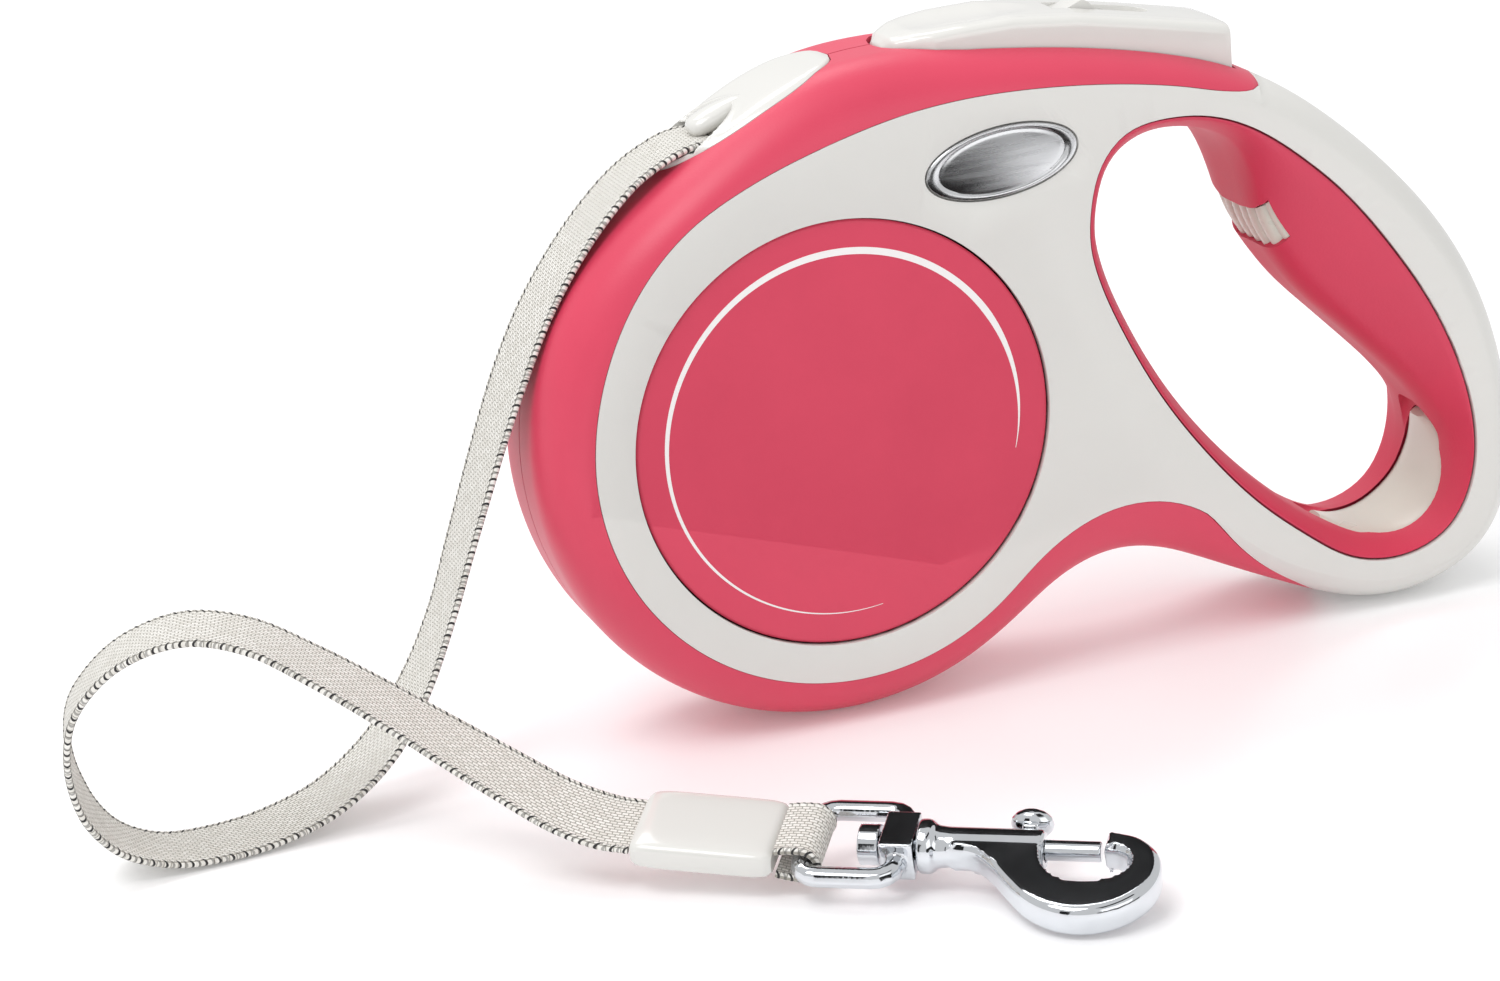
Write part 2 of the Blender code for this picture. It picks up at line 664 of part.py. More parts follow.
def brake_button():
    button = plate("brake_button", [BUTTON_TOP + BUTTON_UNDERSIDE], -BUTTON_HALF_WIDTH,
                   BUTTON_HALF_WIDTH, PALE_GLOSS)
    rounded(button, 1.0)
    cut(button, pin_hole("cut_button_bore", BUTTON_PIVOT, 1.5, 12.0))
    end = LOCK_LENGTH + LOCK_GAP + LOCK_ROOM
    low = -LOCK_FOOT - LOCK_GAP
    slot = lock_outline(((-LOCK_GAP, low), (end, low), (end, 2.0), (-LOCK_GAP, 2.0)))
    reach = LOCK_HALF_WIDTH + LOCK_GAP
    cut(button, plate("cut_lock_slot", [slot], -reach, reach, hidden=True))
    return button


def lock_outline(profile):
    """A profile of distance along the button's sloping back and height over it."""
    along = np.array([math.cos(LOCK_SLOPE), math.sin(LOCK_SLOPE)])
    up = np.array([-along[1], along[0]])
    return np.array([np.array(LOCK_START) + along * a + up * b for a, b in profile])


def lock_slider():
    """A small wedge that locks the pressed brake when it is pushed back."""
    outline = lock_outline((
        (0.0, -LOCK_FOOT), (LOCK_LENGTH, -LOCK_FOOT), (LOCK_LENGTH, 0.5), (9.0, 0.8), (5.6, 2.3),
        (4.4, 2.3), (0.5, 0.8), (0.0, 0.5)))
    return plate("lock_slider", [outline], -LOCK_HALF_WIDTH, LOCK_HALF_WIDTH, PALE_ABS)


def brake_pawl():
    outline = ((18.6, 53.2), (18.6, 44.2), (21.6, 42.8), (22.4, 44.2), (24.6, 52.7))
    return plate("brake_pawl", [outline], -BUTTON_HALF_WIDTH, -TAPE_WIDTH / 2 - 0.4, BLACK_ACETAL)


def button_spring():
    turns = 4
    steps = 10
    points = []
    for i in range(turns * steps + 1):
        angle = 2 * math.pi * i / steps
        points.append(at(32.0 + 2.6 * math.cos(angle), 2.6 * math.sin(angle),
                         44.4 + 6.9 * i / (turns * steps)))
    return tube("button_spring", points, 0.35, STEEL, resolution=1)


def pin(name, centre, radius, reach):
    return turned(name, [(0.0, -reach), (radius, -reach), (radius, reach), (0.0, reach)],
                  centre=centre, material=STEEL, steps=16)


# The reel

def reel():
    """The tape reel: hub and far flange, then the near flange with its ratchet teeth."""
    half = TAPE_WIDTH / 2 + 0.4
    outer = half + FLANGE_THICKNESS
    inner = HUB_RADIUS - HUB_WALL
    hub = turned("reel_hub", [
        (AXLE_RADIUS + GAP, -1.0 + outer - 2.0), (inner, -1.0 + outer - 2.0), (inner, -half),
        (HUB_RADIUS, -half), (HUB_RADIUS, half), (FLANGE_RADIUS, half), (FLANGE_RADIUS, outer),
        (AXLE_RADIUS + GAP, outer)], material=BLACK_ACETAL, steps=48, ring=True)
    spring_cover = turned("spring_cover", [
        (AXLE_RADIUS + GAP, -outer), (inner - GAP, -outer), (inner - GAP, -half + 1.0),
        (AXLE_RADIUS + GAP, -half + 1.0)], material=BLACK_ACETAL, steps=32, ring=True)
    flange = plate("reel_ratchet_flange", [ratchet_outline(), circle(inner + GAP)],
                   -outer, -half - 0.05, BLACK_ACETAL)
    winding = turned("tape_winding", [
        (HUB_RADIUS + GAP, -TAPE_WIDTH / 2), (WINDING_RADIUS, -TAPE_WIDTH / 2),
        (WINDING_RADIUS, TAPE_WIDTH / 2), (HUB_RADIUS + GAP, TAPE_WIDTH / 2)],
        material=WEBBING, steps=64, ring=True)
    return [hub, spring_cover, flange, winding]


def ratchet_outline():
    """Teeth round the flange, with one gap facing the brake pawl."""
    pitch = 2 * math.pi / RATCHET_TEETH
    facing = math.atan2(43.0, 21.0)
    points = []
    for tooth in range(RATCHET_TEETH):
        middle = facing + (tooth + 0.5) * pitch
        for share, radius in ((-0.33, 42.8), (-0.31, FLANGE_RADIUS), (0.0, FLANGE_RADIUS),
                              (0.31, FLANGE_RADIUS), (0.33, 42.8)):
            angle = middle + share * pitch
            points.append((radius * math.cos(angle), radius * math.sin(angle)))
    return points


def power_spring():
    """The flat spiral spring that winds the tape in, from the axle out to the hub."""
    steps = 12
    first = AXLE_RADIUS + 1.0
    last = HUB_RADIUS - HUB_WALL - 1.0
    thickness = 0.4
    middle = []
    for i in range(SPRING_TURNS * steps + 1):
        angle = 2 * math.pi * i / steps
        radius = first + (last - first) * i / (SPRING_TURNS * steps)
        middle.append((radius, angle))
    outline = [(r * math.cos(a), r * math.sin(a)) for r, a in middle]
    outline += [((r + thickness) * math.cos(a), (r + thickness) * math.sin(a))
                for r, a in reversed(middle)]
    return plate("power_spring", [outline], -5.6, 4.6, STEEL)


def axle():
    return turned("reel_axle", [(0.0, -13.4), (AXLE_RADIUS, -13.4), (AXLE_RADIUS, 13.4),
                                (0.0, 13.4)], material=STEEL, steps=24)


def guide_roller():
    reach = TAPE_WIDTH / 2
    return turned("guide_roller", [(1.0 + 0.1, -reach), (ROLLER_RADIUS, -reach),
                                   (ROLLER_RADIUS, reach), (1.0 + 0.1, reach)],
                  centre=ROLLER_CENTRE, material=BLACK_ACETAL, steps=20, ring=True)


def housing_screw(number, centre):
    return turned(f"housing_screw_{number}", [
        (0.0, -7.4), (SCREW_RADIUS, -7.4), (SCREW_RADIUS, 6.8), (SCREW_HEAD_RADIUS, 6.8),
        (SCREW_HEAD_RADIUS, 8.8), (0.0, 8.8)],
        centre=centre, material=STEEL, steps=12)


# The tape exit

def tape_collar():
    """The lens-shaped mouth piece, with a dish round the place where the tape comes out."""
    collar = plate("tape_collar", [COLLAR], -COLLAR_HALF_WIDTH, COLLAR_HALF_WIDTH, PALE_GLOSS)
    rounded(collar, 0.5)
    work = bmesh.new()
    bmesh.ops.create_uvsphere(work, u_segments=20, v_segments=12, radius=9.6 * MM)
    bmesh.ops.translate(work, verts=work.verts, vec=at(-15.2, 0.0, 59.6))
    mesh = bpy.data.meshes.new("cut_collar_dish")
    work.to_mesh(mesh)
    work.free()
    cut(collar, put("cut_collar_dish", clean(mesh), None, hidden=True),
        tape_slot("cut_collar_slot"))
    return collar


def tape_guide():
    """The drop-shaped hood over the tape in the middle of the dish."""
    work = bmesh.new()
    bmesh.ops.create_uvsphere(work, u_segments=20, v_segments=10, radius=1.0)
    tilt = Matrix.Rotation(math.radians(-28), 4, "Y")
    scale = Matrix.Diagonal((4.4 * MM, 3.3 * MM, 1.7 * MM, 1.0))
    work.transform(Matrix.Translation(at(-11.9, 0.0, 53.9)) @ tilt @ scale)
    mesh = bpy.data.meshes.new("tape_guide")
    work.to_mesh(mesh)
    work.free()
    return put("tape_guide", clean(mesh), PALE_GLOSS)


# The tape

def ribbon(name, line, across, width, thickness):
    """A strip along world points with its width along the given directions."""
    work = bmesh.new()
    rows = []
    for point, wide in zip(line, across):
        half = wide * (width / 2 * MM)
        rows.append((work.verts.new(point - half), work.verts.new(point + half)))
    for (a, b), (c, d) in zip(rows, rows[1:]):
        work.faces.new((a, b, d, c))
    mesh = bpy.data.meshes.new(name)
    work.to_mesh(mesh)
    work.free()
    raw = bpy.data.objects.new(name, mesh)
    CUTTERS.objects.link(raw)
    thick = raw.modifiers.new("thickness", "SOLIDIFY")
    thick.thickness = thickness * MM
    thick.offset = 0.0
    return settled(raw, name, WEBBING, False)


def tape_inner_run():
    line = [at(x, 0.0, z) for x, z in smooth_line(INNER_RUN, 2)]
    return ribbon("tape_inner_run", line, [Vector((0, 1, 0))] * len(line), TAPE_WIDTH,
                  TAPE_THICKNESS)


def free_tape():
    """The free tape: over the collar's lip, down to the floor, round a loop to the hook."""
    route = [at(x, y, z - DRUM_Z) for x, y, z in FREE_ROUTE]
    line = smooth_line(route, 2)
    keys = [number for number, _ in TAPE_TWIST]
    where = np.linspace(0, len(route) - 1, len(line))
    step = np.gradient(line, axis=0)
    across = []
    for place, along in zip(where, step):
        wide = Vector([np.interp(place, keys, [way[k] for _, way in TAPE_TWIST])
                       for k in range(3)])
        forward = Vector(along).normalized()
        across.append((wide - forward * wide.dot(forward)).normalized())
    return ribbon("tape_free", [Vector(point) for point in line], across, TAPE_WIDTH,
                  TAPE_THICKNESS)


# The snap hook, in its own frame: X along it, Y up across its flat side, Z through it

def hook_frame():
    along = Vector((math.cos(HOOK_HEADING), math.sin(HOOK_HEADING), 0.0))
    level = Vector((-along.y, along.x, 0.0))
    up = level * math.cos(HOOK_LEAN) + Vector((0, 0, 1)) * math.sin(HOOK_LEAN)
    through = along.cross(up)
    turn = Matrix((along, up, through)).transposed().to_4x4()
    return Matrix.Translation(at(*HOOK_EYE, HOOK_HEIGHT - DRUM_Z)) @ turn


HOOK = hook_frame()
# The sleeve hangs from the eye's bar, and its far end is a little higher.
STRAP = HOOK @ Matrix.Rotation(SLEEVE_PITCH, 4, "Y")
# Turned pieces on the hook: their -Z runs along the hook's X.
ALONG_HOOK = HOOK @ Matrix.Rotation(math.radians(-90), 4, "Y")


def hook_point(u, v, w=0.0, frame=HOOK):
    return frame @ Vector((u * MM, v * MM, w * MM))


def tape_sleeve():
    sleeve = box("tape_sleeve", (-SLEEVE_END - SLEEVE_LENGTH, -SLEEVE_WIDTH / 2,
                                 -SLEEVE_THICKNESS / 2),
                 (-SLEEVE_END, SLEEVE_WIDTH / 2, SLEEVE_THICKNESS / 2), PALE_GLOSS, frame=STRAP)
    rounded(sleeve, 1.2)
    return sleeve


def tape_end_loop():
    """The tape's end, folded round the eye's bar and back into the sleeve."""
    radius = EYE_WIRE + 0.4 + TAPE_THICKNESS / 2
    start = -SLEEVE_END + GAP
    places = [(start, radius * 0.8)]
    for step in range(9):
        angle = math.radians(100 - 200 * step / 8)
        places.append((radius * math.cos(angle), radius * math.sin(angle)))
    places.append((start, -radius * 0.8))
    points = [hook_point(u, 0.0, w, STRAP) for u, w in places]
    wide = (HOOK.to_3x3() @ Vector((0, 1, 0))).normalized()
    return ribbon("tape_end_loop", points, [wide] * len(points), END_LOOP_WIDTH, TAPE_THICKNESS)


def strap_eye():
    """The ring that the tape loops round, with the swivel block on its far side."""
    corner = 3.2
    side = EYE_HALF_WIDTH - corner
    points = []
    for centre, first in (((EYE_LENGTH - corner, side), 0), ((corner, side), 90),
                          ((corner, -side), 180), ((EYE_LENGTH - corner, -side), 270)):
        for step in range(5):
            angle = math.radians(first + 90 * step / 4)
            points.append(hook_point(centre[0] + corner * math.cos(angle),
                                     centre[1] + corner * math.sin(angle)))
    ring = tube("strap_eye", points, EYE_WIRE, CHROME, cyclic=True)
    block = box("eye_block", (EYE_LENGTH - 2.6, -4.3, -3.3), (EYE_LENGTH + 2.6, 4.3, 3.3),
                hidden=True, frame=HOOK)
    combine(ring, block, "UNION")
    bore = turned("cut_eye_bore", [(0.0, 8.0), (2.0, 8.0), (2.0, 20.0), (0.0, 20.0)], steps=16,
                  hidden=True, frame=ALONG_HOOK)
    cut(ring, bore)
    return ring


def swivel_pin():
    return turned("swivel_pin", [(0.0, 8.2), (3.2, 8.2), (3.2, 11.4), (1.6, 11.4), (1.6, 19.4),
                                 (0.0, 19.4)], material=CHROME, steps=20, frame=ALONG_HOOK)


def hook_body():
    """The cast snap hook: a barrel for the gate, and the flat bow that ends in its tip."""
    collar_end = EYE_LENGTH + 2.9
    body = turned("hook_body", [
        (0.0, collar_end), (4.2, collar_end), (4.2, collar_end + 1.8), (3.4, collar_end + 2.3),
        (BARREL_RADIUS, collar_end + 4.0), (BARREL_RADIUS, BARREL_END), (0.0, BARREL_END)],
        material=CHROME, steps=20, frame=ALONG_HOOK)
    outline = ((22.0, -1.2), *HOOK_OUTSIDE, *HOOK_INSIDE, (BARREL_END - 0.4, 1.6), (22.0, 1.2))
    rings = []
    for half, pull in ((-HOOK_PLATE / 2, 0.9), (-HOOK_PLATE / 2 + 1.1, 0.0),
                       (HOOK_PLATE / 2 - 1.1, 0.0), (HOOK_PLATE / 2, 0.9)):
        line = grown(np.array(outline), -pull)
        rings.append([hook_point(u, v, half) for u, v in line])
    bow = loft("hook_bow", rings, hidden=True)
    combine(body, bow, "UNION")
    stem = turned("cut_stem_bore", [(0.0, 10.0), (1.9, 10.0), (1.9, 19.8), (0.0, 19.8)], steps=16,
                  hidden=True, frame=ALONG_HOOK)
    bore = turned("cut_gate_bore", [(0.0, 20.6), (GATE_RADIUS + GAP, 20.6),
                                    (GATE_RADIUS + GAP, BARREL_END + 1.0), (0.0, BARREL_END + 1.0)],
                  steps=16, hidden=True, frame=ALONG_HOOK)
    slot = box("cut_knob_slot", (25.0, 0.5, -1.3), (BARREL_END + 1.0, 6.0, 1.3), hidden=True,
               frame=HOOK)
    cut(body, stem, bore, slot)
    return body


def gate_bolt():
    """The sprung bolt that closes the hook, with the thumb knob standing on it."""
    bolt = turned("gate_bolt", [(0.0, 29.4), (GATE_RADIUS, 29.4), (GATE_RADIUS, GATE_TIP),
                                (0.0, GATE_TIP)], material=CHROME, steps=16, frame=ALONG_HOOK)
    neck = box("gate_neck", (KNOB_AT - 1.1, 0.4, -0.9), (KNOB_AT + 1.1, 5.6, 0.9),
               hidden=True, frame=HOOK)
    work = bmesh.new()
    bmesh.ops.create_uvsphere(work, u_segments=16, v_segments=8, radius=1.0)
    work.transform(HOOK @ Matrix.Translation((KNOB_AT * MM, 6.4 * MM, 0.0))
                   @ Matrix.Diagonal((3.4 * MM, 1.9 * MM, 2.6 * MM, 1.0)))
    mesh = bpy.data.meshes.new("gate_knob")
    work.to_mesh(mesh)
    work.free()
    combine(bolt, neck, "UNION")
    combine(bolt, put("gate_knob", clean(mesh), None, hidden=True), "UNION")
    return bolt


def gate_spring():
    turns = 5
    steps = 8
    points = []
    for i in range(turns * steps + 1):
        angle = 2 * math.pi * i / steps
        points.append(hook_point(21.2 + 7.6 * i / (turns * steps), 1.1 * math.cos(angle),
                                 1.1 * math.sin(angle)))
    return tube("gate_spring", points, 0.22, STEEL, resolution=0)


# Assembly

def carry(name, origin, pieces, turn=None):
    """An empty on a joint's axis that carries the pieces that move together."""
    empty = bpy.data.objects.new(name, None)
    PARTS.objects.link(empty)
    empty.matrix_world = Matrix.Translation(origin) @ (turn or Matrix())
    bpy.context.view_layer.update()
    for piece in pieces:
        piece.parent = empty
        piece.matrix_parent_inverse = empty.matrix_world.inverted()


def build():
    cutters = housing_cutters()
    housing_shell("housing_near", -1, cutters)
    housing_shell("housing_far", 1, cutters)
    for side, word in ((-1, "near"), (1, "far")):
        side_frame(f"side_frame_{word}", side, badge_cutter(side))
        side_disc(f"side_disc_{word}", side)
        badge(f"badge_{word}", side)
    grip_lining()
    tape_collar()
    tape_guide()
    axle()
    power_spring()
    button_spring()
    pin("button_pin", BUTTON_PIVOT, 1.2, 11.0)
    pin("roller_pin", ROLLER_CENTRE, 0.8, 10.4)
    for number, centre in enumerate(SCREWS, 1):
        housing_screw(number, centre)
    tape_inner_run()
    free_tape()
    tape_sleeve()
    tape_end_loop()
    hand_slide = [hand_rest(), ribbed_slider(),
                  slide_bar_block("slide_bar", 0.0, 0.0, BLACK_ACETAL)]
    carry("hand_slide_axis", at(SLIDE_FROM[0], 0.0, SLIDE_FROM[1]), hand_slide)
    carry("reel_axis", at(0.0, 0.0, 0.0), reel())
    carry("button_axis", at(BUTTON_PIVOT[0], 0.0, BUTTON_PIVOT[1]), [brake_button(), brake_pawl()])
    carry("lock_axis", at(52.0, 0.0, 59.0), [lock_slider()])
    carry("roller_axis", at(ROLLER_CENTRE[0], 0.0, ROLLER_CENTRE[1]), [guide_roller()])
    turn = HOOK.to_3x3().to_4x4()
    carry("eye_axis", hook_point(0, 0), [strap_eye()], turn)
    carry("swivel_axis", hook_point(EYE_LENGTH, 0), [swivel_pin(), hook_body(), gate_spring()], turn)
    carry("gate_axis", hook_point(GATE_TIP, 0), [gate_bolt()], turn)


build()
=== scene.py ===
# %% [markdown]
# # A retractable tape leash
# A retractable leash is a flat drum with a hand loop. A spring inside winds a woven tape onto a
# reel, a thumb button stops the reel, and a snap hook hangs on the tape's end. The mechanical
# model gives every piece its place and its motion. This lesson gives the pieces their looks:
# smooth moulded shells, a soft grip, woven tape and chrome.

# %% Load the mechanical model
import json
import math

import bmesh
import bpy
import numpy as np
from mathutils import Matrix, Vector


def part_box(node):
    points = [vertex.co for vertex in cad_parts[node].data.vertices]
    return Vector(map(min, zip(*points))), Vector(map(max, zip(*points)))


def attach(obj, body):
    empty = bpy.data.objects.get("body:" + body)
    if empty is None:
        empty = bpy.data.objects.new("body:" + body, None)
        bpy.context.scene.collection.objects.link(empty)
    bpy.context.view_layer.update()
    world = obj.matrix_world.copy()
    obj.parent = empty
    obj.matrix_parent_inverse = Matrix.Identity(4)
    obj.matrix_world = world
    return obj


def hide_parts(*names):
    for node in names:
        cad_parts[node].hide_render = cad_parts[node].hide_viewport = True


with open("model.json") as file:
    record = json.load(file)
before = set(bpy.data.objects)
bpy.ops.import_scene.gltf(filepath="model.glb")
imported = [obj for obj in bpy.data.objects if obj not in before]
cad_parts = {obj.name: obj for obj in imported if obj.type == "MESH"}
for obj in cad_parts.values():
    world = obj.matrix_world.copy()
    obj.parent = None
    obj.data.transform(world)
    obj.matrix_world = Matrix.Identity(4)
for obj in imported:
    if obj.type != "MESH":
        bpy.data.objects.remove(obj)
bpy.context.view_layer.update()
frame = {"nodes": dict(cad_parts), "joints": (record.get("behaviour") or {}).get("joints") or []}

NODES = frame["nodes"]
MM = 0.001
axle_low, axle_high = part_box("reel_axle")
AXLE = (Vector(axle_low) + Vector(axle_high)) / 2
print("the reel's axle is at", [round(value, 5) for value in AXLE])

# %% [markdown]
# The sizes below are in millimetres and in the drum's own frame: the origin is the reel's axle,
# x runs to the hand loop, y is the thickness and z is up. One function turns them into the
# model's metres, so a piece can be drawn the way a drawing of the leash would give it.

# %% Places in the drum's frame
HALF_THICKNESS = 16.0
SEAM_GAP = 0.15


def at(x, y, z):
    return AXLE + Vector((x, y, z)) * MM


# %% [markdown]
# The camera comes first, because everything else is judged through it. It stands at the hook's
# end, a little above the drum, with a long lens, so the drum is seen nearly side on and its
# rounded rim shows on the left.

# %% Camera
CAMERA_FROM_AXLE = (-208.26, -594.98, 205.64)
CAMERA_TURN = (70.774, 4.691, -19.894)
LENS = 96.0


def placed(name, data):
    """A new object with this data, in the scene."""
    made = bpy.data.objects.new(name, data)
    bpy.context.scene.collection.objects.link(made)
    return made


camera = placed("camera", bpy.data.cameras.new("camera"))
camera.data.lens = LENS
camera.data.sensor_width = 36.0
camera.data.clip_start = 0.01
camera.location = at(*CAMERA_FROM_AXLE)
camera.rotation_euler = [math.radians(angle) for angle in CAMERA_TURN]
bpy.context.scene.camera = camera
print("camera", [round(value, 3) for value in camera.location])

# %% [markdown]
# Materials are made of nodes. Colours are written as on a colour card, in sRGB hex, and one
# function turns them into the linear values that a shader works with. One more function adds a
# node with its settings and its links, so that each material below reads as a short recipe.

# %% Colours and nodes


def colour(card):
    """An sRGB hex colour as linear red, green, blue and alpha."""
    shares = [int(card[place:place + 2], 16) / 255 for place in (1, 3, 5)]
    linear = [share / 12.92 if share <= 0.04045 else ((share + 0.055) / 1.055) ** 2.4
              for share in shares]
    return (*linear, 1.0)


def add(tree, kind, inputs=None, **settings):
    """Adds one node: settings are its properties, inputs are values or other nodes' outputs."""
    made = tree.nodes.new("ShaderNode" + kind)
    for key, value in settings.items():
        setattr(made, key, value)
    for key, value in (inputs or {}).items():
        if isinstance(value, bpy.types.NodeSocket):
            tree.links.new(value, made.inputs[key])
        else:
            made.inputs[key].default_value = value
    return made


def blank(name, **sockets):
    """A new material, its node tree and its shader with these socket values."""
    made = bpy.data.materials.new(name)
    made.use_nodes = True
    tree = made.node_tree
    shader = tree.nodes["Principled BSDF"]
    for key, value in sockets.items():
        shader.inputs[key.replace("_", " ")].default_value = value
    return made, tree, shader


# %% [markdown]
# The tape is polyester webbing: flat yarns cross in a tight plain weave, and each edge is bound
# by a round cord with a dark tracer thread. It could be woven thread by thread, but at 13 mm wide
# the yarns are about a millimetre long, so a pattern laid in the tape's own across-and-along
# coordinates gives the same look. The edge cords are real geometry.

# %% Woven polyester tape
GRAIN_LENGTH = 1.15
GRAIN_WIDTH = 0.62
TRACER_PITCH = 1.05
EDGE_CORD_FROM = 5.35
WHITE_YARN = "#f3f1ec"
# A grey painted into the dips between the yarns as their shade; the fibres' random mottle mixes it
# in too.
SHADED_YARN = "#a5a197"
CREAM_YARN = "#e2dfd8"
TRACER = "#2b2a2b"


def woven_tape():
    """Woven polyester: matt bright yarns, painted shade in the dips between them, a dark tracer."""
    made, tree, shader = blank("woven_polyester_tape", Roughness=0.82, IOR=1.5)
    place = add(tree, "UVMap", uv_map="along").outputs["UV"]
    metres = add(tree, "VectorMath", {0: place, 1: (1000.0, 1000.0, 1.0)}, operation="MULTIPLY")
    parts = add(tree, "SeparateXYZ", {0: metres.outputs[0]})
    across, along = parts.outputs[0], parts.outputs[1]
    turned = add(tree, "CombineXYZ", {0: along, 1: across})
    # The mortar between the bricks is painted shade in the dips of the weave.
    yarns = add(tree, "TexBrick", {
        "Vector": turned.outputs[0], "Color1": colour(WHITE_YARN), "Color2": colour(CREAM_YARN),
        "Mortar": colour(SHADED_YARN), "Scale": 1.0, "Mortar Size": 0.11,
        "Mortar Smooth": 0.8, "Brick Width": GRAIN_LENGTH, "Row Height": GRAIN_WIDTH})
    fibres = add(tree, "TexNoise", {"Vector": turned.outputs[0], "Scale": 2.2, "Detail": 3.0})
    fuzzy = add(tree, "Mix", {6: yarns.outputs["Color"], 7: colour(SHADED_YARN),
                              0: add(tree, "MapRange", {0: fibres.outputs[0], 1: 0.45, 2: 0.8,
                                                        3: 0.0, 4: 0.35}).outputs[0]},
                data_type="RGBA")
    distance = add(tree, "Math", {0: across}, operation="ABSOLUTE")
    on_cord = add(tree, "MapRange", {0: distance.outputs[0], 1: EDGE_CORD_FROM,
                                     2: EDGE_CORD_FROM + 0.12})
    # The tracer crosses the cord at a slant, so its dashes lean by the distance from the edge.
    lean = add(tree, "Math", {0: distance.outputs[0], 1: 0.9, 2: along}, operation="MULTIPLY_ADD")
    stroke = add(tree, "Math", {0: lean.outputs[0], 1: TRACER_PITCH}, operation="FLOORED_MODULO")
    dash = add(tree, "MapRange", {0: stroke.outputs[0], 1: 0.36, 2: 0.44, 3: 1.0, 4: 0.0})
    pair = add(tree, "Math", {0: lean.outputs[0], 1: 2 * TRACER_PITCH}, operation="FLOORED_MODULO")
    strong = add(tree, "MapRange", {0: pair.outputs[0], 1: TRACER_PITCH - 0.02,
                                    2: TRACER_PITCH + 0.02, 3: 1.0, 4: 0.55})
    weight = add(tree, "Math", {0: dash.outputs[0], 1: strong.outputs[0]}, operation="MULTIPLY")
    inked = add(tree, "Math", {0: weight.outputs[0], 1: on_cord.outputs[0]}, operation="MULTIPLY")
    whole = add(tree, "Mix", {0: inked.outputs[0], 6: fuzzy.outputs[2], 7: colour(TRACER)},
                data_type="RGBA")
    raised = add(tree, "Math", {0: yarns.outputs["Fac"], 1: -1.0}, operation="MULTIPLY")
    bump = add(tree, "Bump", {"Height": raised.outputs[0], "Strength": 0.7,
                              "Distance": 0.3 * MM})
    tree.links.new(whole.outputs[2], shader.inputs["Base Color"])
    tree.links.new(bump.outputs[0], shader.inputs["Normal"])
    shader.inputs["Sheen Weight"].default_value = 0.15
    return made


TAPE_WEAVE = woven_tape()

# %% [markdown]
# Smooth curves through a few points shape nearly everything here. An open one serves for the
# tape's route, and a closed cubic spline for the outlines of the housing and the hand loop.
# The same points and the same curve are used as in the mechanical model, only more finely.

# %% Curves


def smooth_line(keys, steps):
    """A curve through the keys, with so many steps between two keys."""
    points = np.array(keys, float)
    padded = np.vstack([2 * points[0] - points[1], points, 2 * points[-1] - points[-2]])
    made = []
    for i in range(1, len(padded) - 2):
        a, b, c, d = padded[i - 1:i + 3]
        for step in range(steps):
            t = step / steps
            made.append(0.5 * (2 * b + (c - a) * t + (2 * a - 5 * b + 4 * c - d) * t**2
                               + (3 * b - a - 3 * c + d) * t**3))
    made.append(points[-1])
    return np.array(made)


def smooth_loop(keys, spacing):
    """A closed cubic spline through the keys, and the key number at each point."""
    points = np.array(keys, float)
    count = len(points)
    after = np.linalg.norm(np.roll(points, -1, 0)[:, :2] - points[:, :2], axis=1)
    before = np.roll(after, 1)
    slope = (np.roll(points, -1, 0) - points) / after[:, None]
    system = np.zeros((count, count))
    for i in range(count):
        system[i, i - 1] = after[i]
        system[i, i] = 2 * (before[i] + after[i])
        system[i, (i + 1) % count] = before[i]
    known = 3 * (after[:, None] * np.roll(slope, 1, 0) + before[:, None] * slope)
    tangent = np.linalg.solve(system, known)
    made = []
    numbers = []
    for i in range(count):
        j = (i + 1) % count
        steps = max(1, round(after[i] / spacing))
        for step in range(steps):
            t = step / steps
            made.append((2 * t**3 - 3 * t**2 + 1) * points[i]
                        + (t**3 - 2 * t**2 + t) * after[i] * tangent[i]
                        + (3 * t**2 - 2 * t**3) * points[j]
                        + (t**3 - t**2) * after[i] * tangent[j])
            numbers.append(i + t)
    return np.array(made), np.array(numbers)


def normals(loop):
    """Unit normals pointing out of a closed loop."""
    tangent = np.roll(loop, -1, 0) - np.roll(loop, 1, 0)
    tangent /= np.linalg.norm(tangent, axis=1)[:, None]
    ahead = np.roll(loop, -1, 0)
    area = (loop[:, 0] * ahead[:, 1] - ahead[:, 0] * loop[:, 1]).sum()
    out = np.stack([tangent[:, 1], -tangent[:, 0]], 1)
    return out if area > 0 else -out


# %% [markdown]
# Most pieces are lofts: rings of points joined into a skin. One function builds the skin, and
# one more turns a finished mesh into a piece that rides on its body, stands for its mechanical
# solid and knows which finish it takes.

# %% Mesh helpers


def skinned(rings, closed=False):
    """A bmesh skin through rings of equal point counts, capped at its ends or closed on itself."""
    work = bmesh.new()
    grid = [[work.verts.new(point) for point in ring] for ring in rings]
    count = len(grid[0])
    pairs = list(zip(grid, grid[1:]))
    if closed:
        pairs.append((grid[-1], grid[0]))
    for low, high in pairs:
        for i in range(count):
            j = (i + 1) % count
            work.faces.new((low[i], low[j], high[j], high[i]))
    if not closed:
        work.faces.new(grid[0])
        work.faces.new(grid[-1])
    return work


def tidy(mesh, angle):
    """Welds a mesh, turns its faces outwards and shades it smooth below this angle."""
    work = bmesh.new()
    work.from_mesh(mesh)
    bmesh.ops.remove_doubles(work, verts=work.verts, dist=1e-6)
    bmesh.ops.dissolve_degenerate(work, edges=work.edges, dist=1e-7)
    bmesh.ops.recalc_face_normals(work, faces=work.faces)
    work.to_mesh(mesh)
    work.free()
    mesh.shade_smooth()
    mesh.set_sharp_from_angle(angle=math.radians(angle))


